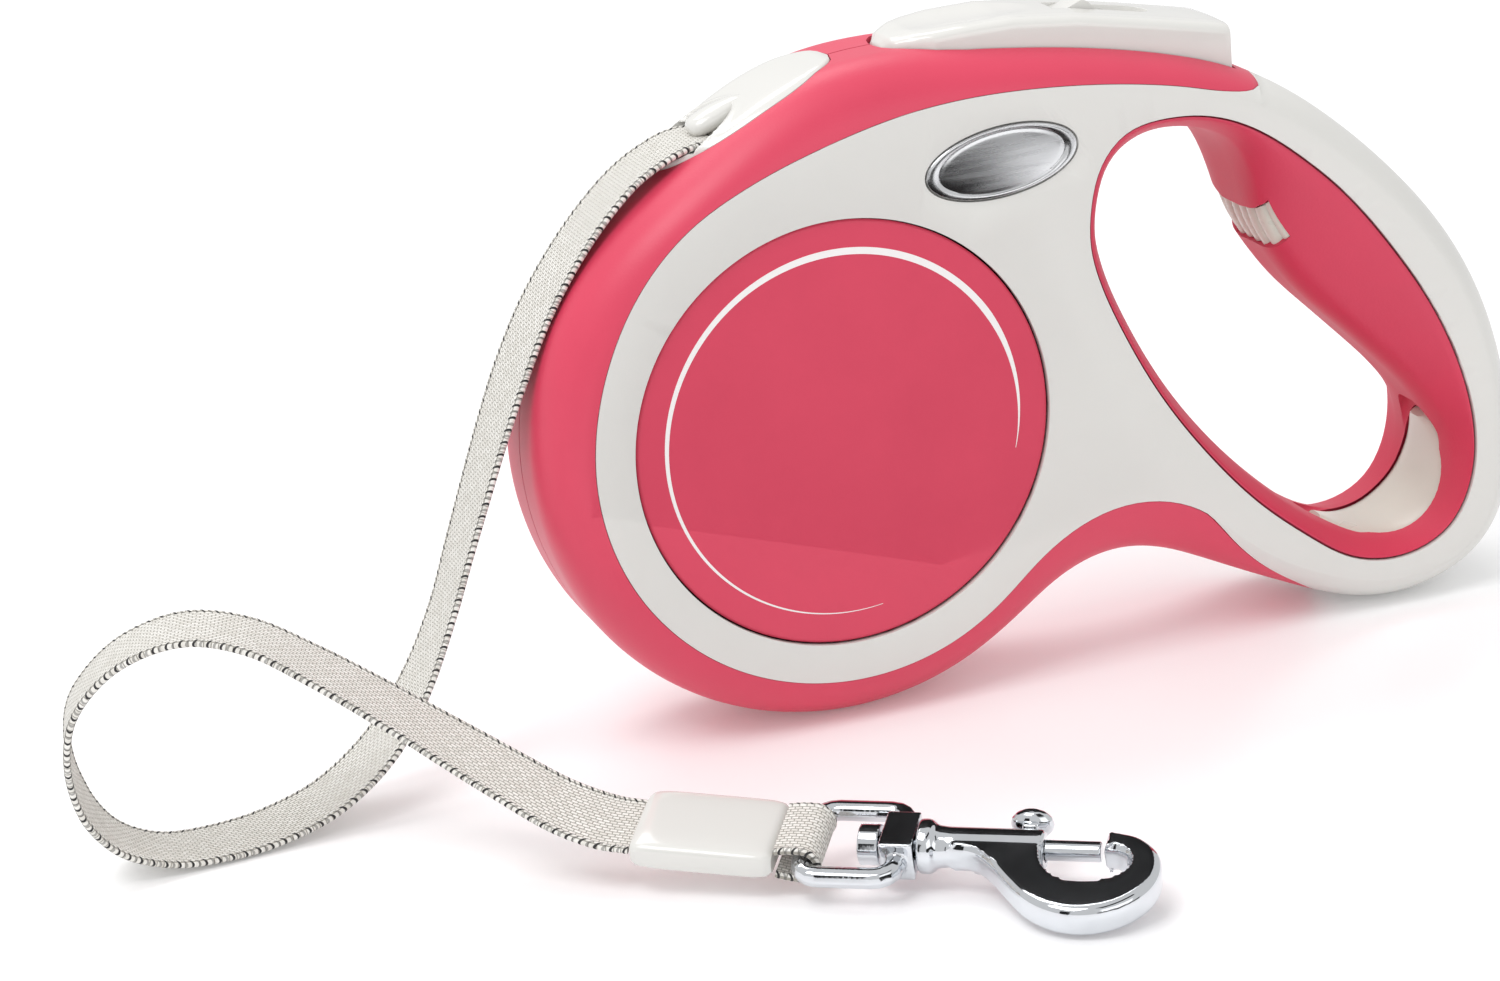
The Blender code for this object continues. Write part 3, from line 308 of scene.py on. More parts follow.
def thing(name, work):
    """A plain object from a bmesh, not yet a piece."""
    mesh = bpy.data.meshes.new(name)
    work.to_mesh(mesh)
    work.free()
    tidy(mesh, 40)
    return placed(name, mesh)


def piece(made, material, body, slot, *nodes):
    """Gives an object its material, its body and the solids that it stands for."""
    made.data.materials.clear()
    made.data.materials.append(material)
    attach(made, body)
    if nodes:
        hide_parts(*nodes)
    print(made.name, len(made.data.polygons), "faces, on", body)
    return made


def settle(made, angle=40):
    """Applies the modifiers and keeps the resulting mesh."""
    graph = bpy.context.evaluated_depsgraph_get()
    mesh = bpy.data.meshes.new_from_object(made.evaluated_get(graph))
    made.modifiers.clear()
    made.data = mesh
    tidy(mesh, angle)
    return made


def combine(made, other, operation):
    """One Boolean, applied at once; the other object is used up."""
    step = made.modifiers.new(other.name, "BOOLEAN")
    step.object = other
    step.operation = operation
    step.solver = "EXACT"
    settle(made)
    bpy.data.objects.remove(other)
    return made


def rounded(made, width, segments=3, angle=30):
    """Rounds every edge sharper than this angle."""
    step = made.modifiers.new("rounding", "BEVEL")
    step.width = width * MM
    step.segments = segments
    step.limit_method = "ANGLE"
    step.angle_limit = math.radians(angle)
    return settle(made)


def extruded(name, outlines, near, far):
    """A flat outline seen from the side, with any further outlines as holes, between two y."""
    curve = bpy.data.curves.new(name, "CURVE")
    curve.dimensions = "2D"
    curve.fill_mode = "BOTH"
    curve.extrude = (far - near) / 2 * MM
    for outline in outlines:
        spline = curve.splines.new("POLY")
        spline.points.add(len(outline) - 1)
        for point, (x, z) in zip(spline.points, outline):
            point.co = (x * MM, z * MM, 0.0, 1.0)
        spline.use_cyclic_u = True
    raw = placed(name, curve)
    bpy.context.view_layer.update()
    graph = bpy.context.evaluated_depsgraph_get()
    mesh = bpy.data.meshes.new_from_object(raw.evaluated_get(graph))
    turn = Matrix.Rotation(math.pi / 2, 4, "X")
    mesh.transform(Matrix.Translation(at(0.0, (near + far) / 2, 0.0)) @ turn)
    bpy.data.objects.remove(raw)
    tidy(mesh, 40)
    return placed(name, mesh)


# %% [markdown]
# The free tape leaves the housing over the collar's lip, hangs down to the floor, makes one loose
# loop and ends in the sleeve above the hook. Its route is a given list of points, as the tape would
# lie, and a second short list says which way its width points. It could be a curve with a flat
# bevel, but a loft lets the edge cords stand proud and carries the weave's coordinates.

# %% The tape's route
TAPE_WIDTH = 13.0
TAPE_STEPS = 7
FLOOR_BELOW_AXLE = 50.5
FREE_ROUTE = (
    (-14.6, 0.0, 99.6), (-18.4, 0.0, 99.5), (-22.6, 0.0, 98.2), (-28.5, 0.0, 95.0),
    (-34.6, 0.0, 89.6), (-40.2, 0.0, 83.2), (-45.6, 0.0, 75.5), (-50.4, 0.0, 66.5),
    (-54.7, 0.0, 57.0), (-58.6, 0.0, 47.5), (-62.4, 0.0, 38.0), (-66.6, -0.6, 28.0),
    (-72.4, -2.2, 18.0), (-80.2, -5.2, 9.6), (-90.0, -8.0, 4.0), (-100.2, -9.8, 1.6),
    (-109.6, -10.8, 1.2), (-118.0, -11.2, 2.2), (-125.2, -11.6, 6.2), (-129.8, -12.6, 13.6),
    (-131.4, -14.2, 22.8), (-129.4, -16.6, 31.8), (-122.4, -19.4, 39.2), (-112.6, -22.4, 42.4),
    (-103.0, -25.2, 40.2), (-94.0, -28.2, 34.4), (-85.0, -31.6, 27.6), (-76.0, -36.0, 20.6),
    (-68.8, -41.6, 15.4), (-62.7, -47.2, 11.4), (-57.2, -52.1, 9.2), (-52.7, -55.3, 8.45),
)
TAPE_TWIST = (
    (0, (0.0, 1.0, 0.0)),
    (3, (0.0, 1.0, 0.0)),
    (7, (-0.1, 1.0, 0.0)),
    (11, (0.02, 1.0, 0.0)),
    (13, (0.0, 1.0, 0.1)),
    (17, (0.05, 1.0, 0.02)),
    (19, (0.2, 0.97, 0.05)),
    (21, (0.16, 0.97, -0.06)),
    (23, (0.2, 0.97, 0.03)),
    (27, (0.4, 0.88, 0.2)),
    (30, (0.55, 0.8, 0.22)),
    (31, (0.553, 0.804, 0.216)),
)


def tape_section(width, flat=0.42, cord=0.6):
    """Half thickness against distance across: a flat web between two round edge cords."""
    half = width / 2
    middle = half - cord
    shares = [0.0, 0.25, 0.5, 0.72, 0.86, 0.93, 1.0]
    inner = [share * (middle - 0.75 * cord) for share in shares]
    edge = [middle + cord * math.sin(math.radians(angle)) for angle in (-30, -5, 20, 45, 65, 80)]
    right = inner + edge
    rise = [flat] * len(inner) + [math.sqrt(max(cord**2 - (u - middle) ** 2, 0.0)) for u in edge]
    top = [(-u, h) for u, h in zip(right[::-1], rise[::-1])][:-1] + list(zip(right, rise))
    return [(-half, 0.0)] + top + [(half, 0.0)] + [(u, -h) for u, h in top[::-1]]


def webbing(name, line, across, width, body):
    """A tape along world points, with the weave's coordinates in metres: across, along."""
    section = tape_section(width)
    steps = np.linalg.norm(np.diff(np.array(line), axis=0), axis=1)
    travelled = np.concatenate([[0.0], np.cumsum(steps)])
    forward = np.gradient(np.array(line), axis=0)
    rings = []
    for point, wide, ahead in zip(line, across, forward):
        up = Vector(wide).cross(Vector(ahead).normalized())
        rings.append([Vector(point) + wide * (u * MM) + up * (h * MM) for u, h in section])
    work = skinned(rings)
    layer = work.loops.layers.uv.new("along")
    work.verts.index_update()
    for face in work.faces:
        for corner in face.loops:
            ring, place = divmod(corner.vert.index, len(section))
            corner[layer].uv = (section[place][0] * MM, travelled[ring])
    made = thing(name, work)
    return piece(made, TAPE_WEAVE, body, "webbing", name.replace("_visual", ""))


route = [at(x, y, z - FLOOR_BELOW_AXLE) for x, y, z in FREE_ROUTE]
line = smooth_line(route, TAPE_STEPS)
twist_keys = [number for number, _ in TAPE_TWIST]
where = np.linspace(0, len(route) - 1, len(line))
across = []
for number, ahead in zip(where, np.gradient(line, axis=0)):
    wide = Vector([np.interp(number, twist_keys, [way[k] for _, way in TAPE_TWIST])
                   for k in range(3)])
    forward = Vector(ahead).normalized()
    across.append((wide - forward * wide.dot(forward)).normalized())
free_tape = webbing("tape_free_visual", line, across, TAPE_WIDTH, "root")
measured = float(np.linalg.norm(np.diff(line, axis=0), axis=1).sum())
print("the free tape is", round(measured, 4), "m")

# %% [markdown]
# The tape's end is folded round the eye's bar and sewn back inside a moulded sleeve. The hook
# lies tilted beside the drum, so its pieces are drawn in the hook's own frame, taken from the
# swivel's axis in the mechanical model: u along the hook, v across its flat side, w through it.

# %% The hook's frame
JOINTS = {joint["name"]: joint for joint in frame["joints"]}
HOOK_EYE = (-30.6, -70.0)
HOOK_HEIGHT = 6.6
HOOK_HEADING = math.radians(-34.5)
HOOK_LEAN = math.radians(12.5)
SLEEVE_PITCH = math.radians(4.0)
SLEEVE_START = -4.3
SLEEVE_LENGTH = 22.0
SLEEVE_WIDTH = 15.5
SLEEVE_THICKNESS = 5.0
EYE_WIRE = 1.7


def hook_frame():
    along = Vector((math.cos(HOOK_HEADING), math.sin(HOOK_HEADING), 0.0))
    level = Vector((-along.y, along.x, 0.0))
    up = level * math.cos(HOOK_LEAN) + Vector((0, 0, 1)) * math.sin(HOOK_LEAN)
    turn = Matrix((along, up, along.cross(up))).transposed().to_4x4()
    return Matrix.Translation(at(*HOOK_EYE, HOOK_HEIGHT - FLOOR_BELOW_AXLE)) @ turn


HOOK = hook_frame()
STRAP = HOOK @ Matrix.Rotation(SLEEVE_PITCH, 4, "Y")


def superellipse(half_width, half_height, power, steps=40):
    """A closed outline between an ellipse (power 2) and a rectangle (a high power)."""
    outline = []
    for step in range(steps):
        angle = 2 * math.pi * step / steps
        c, s = math.cos(angle), math.sin(angle)
        outline.append((half_width * math.copysign(abs(c) ** (2 / power), c),
                        half_height * math.copysign(abs(s) ** (2 / power), s)))
    return outline


# %% [markdown]
# ABS shells are injection moulded. The tool's fine spark-eroded grain leaves a satin skin, and
# the melt's flow leaves a faint cloudiness. The real grain is about 0.1 mm, so it is drawn three
# times as coarse to catch the light at all. Glossy trim comes from a polished tool and shows only
# a slight waviness. The same recipe serves each plastic here with its own numbers.

# %% Moulded plastics


def moulded(name, card, roughness, grain, depth, cloud=0.05, coat=0.0, ior=1.5):
    """A moulded plastic: grain and depth in millimetres, cloud the share by which it varies."""
    made, tree, shader = blank(name, IOR=ior, Coat_Weight=coat, Coat_Roughness=0.12)
    place = add(tree, "TexCoord").outputs["Object"]
    flow = add(tree, "TexNoise", {"Vector": place, "Scale": 45.0, "Detail": 3.0,
                                  "Roughness": 0.6})
    level = add(tree, "MapRange", {0: flow.outputs[0], 1: 0.3, 2: 0.7,
                                   3: 1.0 - cloud, 4: 1.0 + cloud})
    tint = add(tree, "HueSaturation", {"Color": colour(card), "Value": level.outputs[0]})
    sheen = add(tree, "MapRange", {0: flow.outputs[0], 1: 0.3, 2: 0.7,
                                   3: roughness * 0.92, 4: roughness * 1.08})
    texture = add(tree, "TexNoise", {"Vector": place, "Scale": 1000.0 / grain, "Detail": 2.0})
    bump = add(tree, "Bump", {"Height": texture.outputs[0], "Strength": 0.6,
                              "Distance": depth * MM})
    tree.links.new(tint.outputs[0], shader.inputs["Base Color"])
    tree.links.new(sheen.outputs[0], shader.inputs["Roughness"])
    tree.links.new(bump.outputs[0], shader.inputs["Normal"])
    return made


# Red ABS from a spark-eroded tool: an even, slightly dry satin.
RED_ABS = moulded("moulded_red_abs", "#d8415d", 0.42, 0.35, 0.03, cloud=0.03)
# Soft thermoplastic rubber over the loop: the same red, duller and deeper.
RED_RUBBER = moulded("moulded_soft_red_rubber", "#d03a57", 0.55, 0.45, 0.05, cloud=0.04)
# Pale grey ABS from a fine-grained tool: a quiet satin with no sparkle.
PALE_ABS = moulded("moulded_pale_grey_abs", "#dbdad6", 0.36, 0.4, 0.015, cloud=0.012)
# The same ABS where the hand goes, worn to a slight shine. Its colour is a shade greener as a
# painted tint: it cancels the pink light that the red around it throws onto it.
PALE_HAND = moulded("handled_pale_abs_tinted_against_red_bounce", "#d3d8cc", 0.28, 1.5, 0.015, cloud=0.02)
# Pale trim from a polished tool: a wet-looking gloss over the same grey.
PALE_GLOSS = moulded("polished_pale_grey_abs", "#dddcd8", 0.16, 3.0, 0.02, cloud=0.01, coat=0.4)
# White printing ink on the disc: flat and slightly chalky.
WHITE_INK = moulded("printed_white_ink", "#f2efee", 0.5, 0.6, 0.01, cloud=0.01)
# Black acetal gears and reels: waxy and dark.
BLACK_ACETAL = moulded("moulded_black_acetal", "#1b1b1d", 0.38, 0.8, 0.02, cloud=0.1)

# %% [markdown]
# The hook is die-cast zinc with bright chrome plating: almost a mirror, with the casting's faint
# waves under it. The badge is a brushed and lacquered aluminium plate, and springs and pins are
# bare drawn steel, which keeps fine lines from the die.

# %% Metals


def metal(name, card, roughness, wave, depth, stretch=(1.0, 1.0, 1.0)):
    """A metal with waves or brushed lines: wave and depth in millimetres."""
    made, tree, shader = blank(name, Metallic=1.0)
    place = add(tree, "TexCoord").outputs["Object"]
    pulled = add(tree, "VectorMath", {0: place, 1: stretch}, operation="MULTIPLY")
    surface = add(tree, "TexNoise", {"Vector": pulled.outputs[0], "Scale": 1000.0 / wave,
                                     "Detail": 2.0})
    worn = add(tree, "MapRange", {0: surface.outputs[0], 1: 0.35, 2: 0.65,
                                  3: roughness * 0.75, 4: roughness * 1.25})
    tone = add(tree, "HueSaturation", {"Color": colour(card), "Value": add(
        tree, "MapRange", {0: surface.outputs[0], 1: 0.3, 2: 0.7, 3: 0.97, 4: 1.03}).outputs[0]})
    bump = add(tree, "Bump", {"Height": surface.outputs[0], "Strength": 0.5,
                              "Distance": depth * MM})
    tree.links.new(tone.outputs[0], shader.inputs["Base Color"])
    tree.links.new(worn.outputs[0], shader.inputs["Roughness"])
    tree.links.new(bump.outputs[0], shader.inputs["Normal"])
    return made


# Chrome plate on cast zinc: a cool mirror over a slightly uneven casting.
CHROME = metal("chrome_plated_zinc", "#d9dce0", 0.07, 5.0, 0.05)
# Brushed and lacquered aluminium: pale, with fine lines along the badge.
ALUMINIUM = metal("brushed_aluminium_badge", "#dcdddf", 0.24, 1.4, 0.01, (0.06, 1.0, 1.0))
# Drawn steel wire and ground pins: grey and bright.
STEEL = metal("drawn_bright_steel", "#a9abb0", 0.26, 1.5, 0.01)

# %% [markdown]
# The sleeve is a small moulding with full round edges and a slightly barrelled face. A loft of
# superellipses gives that softness directly, where a bevelled box would stay flat.

# %% Sleeve and end loop
SLEEVE_SOFTNESS = 0.9
sleeve_rings = []
for share in np.linspace(-1.0, 1.0, 33):
    ease = (1 - abs(share) ** 7) ** 0.5 if abs(share) < 1 else 0.0
    u = SLEEVE_START - SLEEVE_LENGTH / 2 + share * SLEEVE_LENGTH / 2
    half_width = SLEEVE_WIDTH / 2 - SLEEVE_SOFTNESS + SLEEVE_SOFTNESS * ease
    half_thick = SLEEVE_THICKNESS / 2 - SLEEVE_SOFTNESS + SLEEVE_SOFTNESS * ease
    sleeve_rings.append([STRAP @ (Vector((u, v, w)) * MM)
                         for v, w in superellipse(half_width, half_thick, 5.0, 56)])
sleeve = piece(thing("sleeve_moulding", skinned(sleeve_rings)), PALE_GLOSS, "root",
               "pale_gloss", "tape_sleeve")

# The tape wraps the eye's wire, with a little room and half its own thickness.
END_LOOP_RADIUS = EYE_WIRE + 0.4 + 0.5
END_LOOP_WIDTH = 12.4
loop_start = SLEEVE_START + 0.3
loop_places = [(loop_start, END_LOOP_RADIUS * 0.8), (loop_start * 0.5, END_LOOP_RADIUS * 0.95)]
for step in range(19):
    angle = math.radians(90 - 180 * step / 18)
    loop_places.append((END_LOOP_RADIUS * math.cos(angle), END_LOOP_RADIUS * math.sin(angle)))
loop_places += [(u, -w) for u, w in loop_places[1::-1]]
loop_line = [STRAP @ (Vector((u, 0.0, w)) * MM) for u, w in loop_places]
loop_wide = (HOOK.to_3x3() @ Vector((0, 1, 0))).normalized()
end_loop = webbing("tape_end_loop_visual", np.array(loop_line), [loop_wide] * len(loop_line),
                   END_LOOP_WIDTH, "root")

# %% [markdown]
# Castings have no sharp edge anywhere: the tool's radii and the tumbling before plating round
# them all. The mechanical solids have the right shapes but flat facets, so each metal piece is a
# fine remesh of its solid, smoothed until the facets flow into each other.

# %% Chrome hook, eye, swivel and gate


def cast(made, voxel, smoothing):
    """Turns a rough solid into a fine casting with rounded edges."""
    remesh = made.modifiers.new("cast skin", "REMESH")
    remesh.mode = "VOXEL"
    remesh.voxel_size = voxel * MM
    relax = made.modifiers.new("tumbled", "SMOOTH")
    relax.factor = 0.5
    relax.iterations = smoothing
    return settle(made, 60)


def recast(name, node, voxel, smoothing, material, body, slot):
    """A fine rounded casting made from a mechanical solid."""
    made = placed(name, NODES[node].data.copy())
    return piece(cast(made, voxel, smoothing), material, body, slot, node)


def spun(name, profile, frame_matrix, steps=64):
    """A closed solid from (radius, distance along u) turned about the frame's u axis."""
    rings = []
    for radius, u in profile:
        rings.append([frame_matrix @ (Vector((u, radius * math.cos(turn), radius * math.sin(turn)))
                                      * MM)
                      for turn in np.linspace(0, 2 * math.pi, steps, endpoint=False)])
    return thing(name, skinned(rings))


# %% [markdown]
# The hook's body is drawn afresh, because its long curve is what the eye follows: a turned
# barrel, and a bow whose side outline is one smooth line outside and one inside. Its section is
# flat on its faces and fully round at its edges.

# %% Hook body
BARREL_FROM = 17.4
BARREL_RADIUS = 3.1
BARREL_END = 36.5
GATE_RADIUS = 1.6
GATE_TIP = 45.0
BOW_HALF = 2.6
BOW_ROUND = 1.5
FLANGE_RADIUS = 4.2
BORE_FROM = 20.6
STEM_RADIUS = 1.9
KNOB_SLOT_HALF = 1.3
CAST_VOXEL = 0.18
CAST_SMOOTHING = 22
HOOK_OUTSIDE = ((22.0, -2.9), (26.0, -3.6), (29.0, -6.2), (32.4, -10.6), (36.0, -14.6),
                (40.5, -17.1), (45.2, -17.5), (50.0, -15.6), (53.6, -11.6), (54.9, -6.8),
                (54.0, -2.2), (51.0, 1.1), (47.9, 2.2), (GATE_TIP + 0.6, 2.2))
HOOK_INSIDE = ((GATE_TIP + 0.6, -1.7), (47.8, -1.9), (49.6, -3.6), (49.7, -6.2), (47.6, -8.6),
               (43.6, -9.8), (40.0, -8.9), (37.6, -6.2), (BARREL_END, -2.6))


def hook_body():
    barrel = spun("hook_casting", [
        (0.1, BARREL_FROM), (4.1, BARREL_FROM), (FLANGE_RADIUS, BARREL_FROM + 0.3),
        (FLANGE_RADIUS, 19.0),
        (4.0, 19.5), (3.3, 20.2), (BARREL_RADIUS, 22.0), (BARREL_RADIUS, BARREL_END - 0.4),
        (BARREL_RADIUS - 0.4, BARREL_END), (0.1, BARREL_END)], HOOK)
    outline = np.vstack([smooth_line(HOOK_OUTSIDE, 6), smooth_line(HOOK_INSIDE, 6),
                         [(BARREL_END - 0.3, 1.9), (24.0, 1.9)]])
    inward = -normals(outline)
    rings = []
    for turn in np.radians(np.linspace(-90, 90, 13)):
        line_here = outline + inward * BOW_ROUND * (1 - math.cos(turn))
        level = math.copysign(BOW_HALF - BOW_ROUND, turn) + BOW_ROUND * math.sin(turn)
        rings.append([HOOK @ (Vector((u, v, level)) * MM) for u, v in line_here])
    # Barrel and bow overlap, and the fine remesh in cast welds them into one body.
    bow = thing("bow", skinned(rings))
    work = bmesh.new()
    work.from_mesh(barrel.data)
    work.from_mesh(bow.data)
    work.to_mesh(barrel.data)
    work.free()
    bpy.data.objects.remove(bow)
    cast(barrel, CAST_VOXEL, CAST_SMOOTHING)
    past_end = BARREL_END + 1.0
    bore_radius = GATE_RADIUS + 0.3
    bore = spun("gate_bore", [(0.05, BORE_FROM), (bore_radius, BORE_FROM),
                              (bore_radius, past_end), (0.05, past_end)], HOOK, 40)
    stem = spun("stem_bore", [(0.05, 10.0), (STEM_RADIUS, 10.0), (STEM_RADIUS, 19.8),
                              (0.05, 19.8)], HOOK, 40)
    corners = ((0.5, -KNOB_SLOT_HALF), (0.5, KNOB_SLOT_HALF),
               (6.0, KNOB_SLOT_HALF), (6.0, -KNOB_SLOT_HALF))
    slot_rings = [[HOOK @ (Vector((u, v, w)) * MM) for v, w in corners]
                  for u in (25.0, past_end)]
    for cutter in (bore, stem, thing("knob_slot", skinned(slot_rings))):
        combine(barrel, cutter, "DIFFERENCE")
    return barrel


hook = piece(hook_body(), CHROME, "hook", "chrome", "hook_body")
eye = recast("eye_casting", "strap_eye", 0.22, 7, CHROME, "eye", "chrome")
gate = recast("gate_bolt_and_knob", "gate_bolt", 0.2, 5, CHROME, "gate", "chrome")
pin = recast("swivel_stud", "swivel_pin", 0.2, 3, CHROME, "hook", "chrome")


def finish_node(name, material):
    """Gives a mechanical solid that stays visible its finish."""
    NODES[name].data.materials.clear()
    NODES[name].data.materials.append(material)


finish_node("gate_spring", STEEL)

# %% [markdown]

# %% [markdown]
# ## The housing
# Two half shells meet at a seam on the rim. The rim is a flat tread that rolls over into the
# sides, and how wide that roll is changes round the drum: broad under the neck, tight round the
# loop. A list of points gives x, z and that width. Every point of the skin is then found by one
# number, the girth: 0 at the seam, 1 where the flat side begins, and past 1 on the flat side.

# %% The housing's skin
RIM_INSET = 7.8
DRUM_RADIUS = 50.5
TREAD_HALF_WIDTH = 6.0
TREAD_GIRTH = 0.35
RIM_ARC = math.radians(72)
FACE_PER_GIRTH = 10.0
HOUSING_KEYS = (
    (-25.3, 43.7, 5.4),
    (-43.7, 25.3, 7.2),
    (-DRUM_RADIUS, 0.0, RIM_INSET),
    (-43.7, -25.3, RIM_INSET),
    (-25.3, -43.7, RIM_INSET),
    (0.0, -DRUM_RADIUS, RIM_INSET),
    (21.3, -45.8, RIM_INSET),
    (31.4, -39.9, 8.2),
    (39.2, -35.1, 9.4),
    (49.0, -32.5, 10.6),
    (57.5, -33.7, 9.8),
    (65.3, -37.0, 7.2),
    (73.1, -40.9, 5.2),
    (80.8, -44.6, 4.6),
    (88.0, -47.8, 4.6),
    (94.4, -49.8, 4.8),
    (101.0, -50.5, 5.0),
    (108.8, -49.3, 5.0),
    (116.5, -45.6, 5.0),
    (122.2, -38.7, 5.0),
    (124.6, -30.0, 5.0),
    (125.0, -21.5, 5.0),
    (123.7, -11.4, 5.0),
    (120.5, 0.3, 5.0),
    (114.0, 13.5, 5.0),
    (106.1, 23.9, 5.0),
    (97.0, 33.2, 5.0),
    (85.3, 42.6, 4.6),
    (73.0, 49.2, 4.2),
    (60.0, 53.4, 4.6),
    (40.0, 57.4, 5.8),
    (20.0, 59.4, 7.6),
    (2.7, 58.1, 9.0),
    (-8.0, 54.2, 8.2),
    (-17.0, 49.0, 6.4),
)
HOUSING, NUMBERS = smooth_loop(HOUSING_KEYS, 1.5)
LINE = HOUSING[:, :2]
OUT = normals(LINE)
INSET = HOUSING[:, 2]
KEY_COUNT = len(HOUSING_KEYS)


def girth_place(inset, girth):
    """How far in from the outline and how far from the seam a point of this girth lies."""
    if girth <= TREAD_GIRTH:
        share = max(girth, 0.0) / TREAD_GIRTH
        return 0.0, SEAM_GAP + (TREAD_HALF_WIDTH - SEAM_GAP) * share
    if girth >= 1.0:
        return inset + (girth - 1.0) * FACE_PER_GIRTH, HALF_THICKNESS
    turn = RIM_ARC * (girth - TREAD_GIRTH) / (1.0 - TREAD_GIRTH)
    inward = inset * (1 - math.cos(turn)) / (1 - math.cos(RIM_ARC))
    rise = (HALF_THICKNESS - TREAD_HALF_WIDTH) * math.sin(turn) / math.sin(RIM_ARC)
    return inward, TREAD_HALF_WIDTH + rise


def skin(i, girth, depth=0.0):
    """x, y, z of a point on the far half's skin, sunk square to it by some depth."""
    inward, y = girth_place(INSET[i], girth)
    before = girth_place(INSET[i], girth - 0.01)
    after = girth_place(INSET[i], girth + 0.01)
    run, rise = after[0] - before[0], after[1] - before[1]
    length = math.hypot(run, rise)
    inward += depth * rise / length
    y -= depth * run / length
    x, z = LINE[i] - OUT[i] * inward
    return x, y, z


# %% [markdown]
# On each side a red shell carries the rim and a pale frame carries the face. Where they meet is
# a smooth line: along the drum it runs at the edge of the flat side, at the bottom it slides down
# over the rim in a long point, and beside the button it ends in a round tip. Behind the loop the
# pale frame wraps the whole rim, right to the seam.

# %% The line between red and pale
TAIL_FROM, TAIL_TO = 10.3, 14.0
TIP_FROM, TIP_TO = 27.5, 28.5
END_RUN = 0.3


def red_reach(number):
    """The girth at which red gives way to pale, by the outline's key number."""
    if number <= TAIL_FROM or number >= TIP_TO:
        return 1.0
    if number < TAIL_TO:
        share = 1 - (number - TAIL_FROM) / (TAIL_TO - TAIL_FROM)
    elif number > TIP_FROM:
        share = math.sqrt(1 - (1 - (number - TIP_FROM) / (TIP_TO - TIP_FROM)) ** 2)
    else:
        past = min(number - TAIL_TO, TIP_FROM - number)
        return TREAD_GIRTH * max(0.0, 1 - past / END_RUN)
    turn = math.acos(1 - share * (1 - math.cos(RIM_ARC)))
    return TREAD_GIRTH + (1 - TREAD_GIRTH) * turn / RIM_ARC


reach = np.array([red_reach(number) for number in NUMBERS])
first_red = int(np.argmax(NUMBERS > TIP_FROM - END_RUN))
last_red = int(np.argmax(NUMBERS > TAIL_TO + END_RUN))
red_run = [i % len(NUMBERS) for i in range(first_red, last_red + len(NUMBERS))]
print("red from key", round(NUMBERS[first_red], 2), "to key", round(NUMBERS[last_red], 2))

# %% [markdown]
# Each red shell is a loft along the outline. Its ring is a closed strip: over the skin from the
# seam to the pale frame, down into the joint, a ledge that passes under the frame, and back along
# the inside of the wall.

# %% Red half shells
WALL = 2.4
JOINT_DEPTH = 1.8
JOINT_GIRTH = 0.008
LEDGE_GIRTH = 0.09
SKIN_ROWS = 22


def both_sides(point, side):
    x, y, z = point
    return at(x, side * y, z)


def red_shell(name, side):
    rings = []
    for i in red_run:
        edge = max(reach[i], 0.03)
        ring = [skin(i, edge * row / SKIN_ROWS) for row in range(SKIN_ROWS)]
        ring += [skin(i, edge, 0.06), skin(i, edge + JOINT_GIRTH, 0.35)]
        ring += [skin(i, edge + JOINT_GIRTH, JOINT_DEPTH), skin(i, edge + LEDGE_GIRTH, JOINT_DEPTH)]
        ring += [skin(i, edge + LEDGE_GIRTH, WALL)]
        ring += [skin(i, edge * row / 8, WALL) for row in range(8, -1, -1)]
        rings.append([both_sides(point, side) for point in ring])
    return thing(name, skinned(rings))


red_near = red_shell("red_shell_near", -1)
red_far = red_shell("red_shell_far", 1)

# %% [markdown]
# The pale frame is one sheet: rows over the rim from the red line to the flat side, then the flat
# side itself, filled in between the outline, the disc's round hole and the hand loop. A solidify
# modifier gives the sheet its thickness. A bevel later gives its edges the narrow bright lip that
# a moulded cover has.

# %% Pale side frames
DISC_RADIUS = 35.7
DISC_GAP = 0.3
FRAME_THICKNESS = 1.4
FRAME_GAP = 0.012
FACE_GIRTH = 1.1
LOOP_KEYS = (
    (44.9, 23.7, 49.0, 24.0),
    (45.4, 30.8, 50.0, 31.0),
    (47.6, 37.2, 52.5, 35.8),
    (52.1, 41.7, 56.5, 38.5),
    (59.8, 43.2, 62.5, 39.5),
    (67.5, 42.3, 69.5, 38.0),
    (75.2, 39.1, 75.0, 33.5),
    (80.5, 35.5, 77.4, 27.0),
    (85.4, 31.4, 78.9, 20.6),
    (91.0, 26.0, 82.2, 13.8),
    (95.7, 20.5, 87.0, 7.0),
    (100.5, 14.0, 93.2, 0.4),
    (104.7, 7.7, 99.3, -5.8),
    (108.5, 1.0, 104.3, -11.0),
    (111.6, -6.0, 108.3, -15.8),
    (114.3, -15.0, 111.6, -21.2),
    (115.2, -24.4, 113.1, -27.5),
    (113.6, -32.1, 111.4, -33.8),
    (109.8, -37.8, 107.7, -37.6),
    (103.4, -41.0, 102.8, -39.4),
    (97.0, -41.4, 97.3, -38.9),
    (90.6, -39.7, 91.5, -36.4),
    (82.9, -34.6, 84.6, -31.7),
    (73.9, -26.9, 76.2, -24.2),
    (64.9, -16.7, 67.7, -14.8),
    (56.0, -3.8, 59.2, -2.6),
    (49.5, 9.0, 53.0, 9.8),
    (46.0, 18.2, 50.0, 18.2),
)
LOOP, LOOP_NUMBERS = smooth_loop(LOOP_KEYS, 1.6)
LOOP_HOLE = LOOP[:, :2]
GRIP_LINE = LOOP[:, 2:]


def circle(radius, steps):
    angles = np.linspace(0, 2 * math.pi, steps, endpoint=False)
    return np.stack([radius * np.cos(angles), radius * np.sin(angles)], 1)


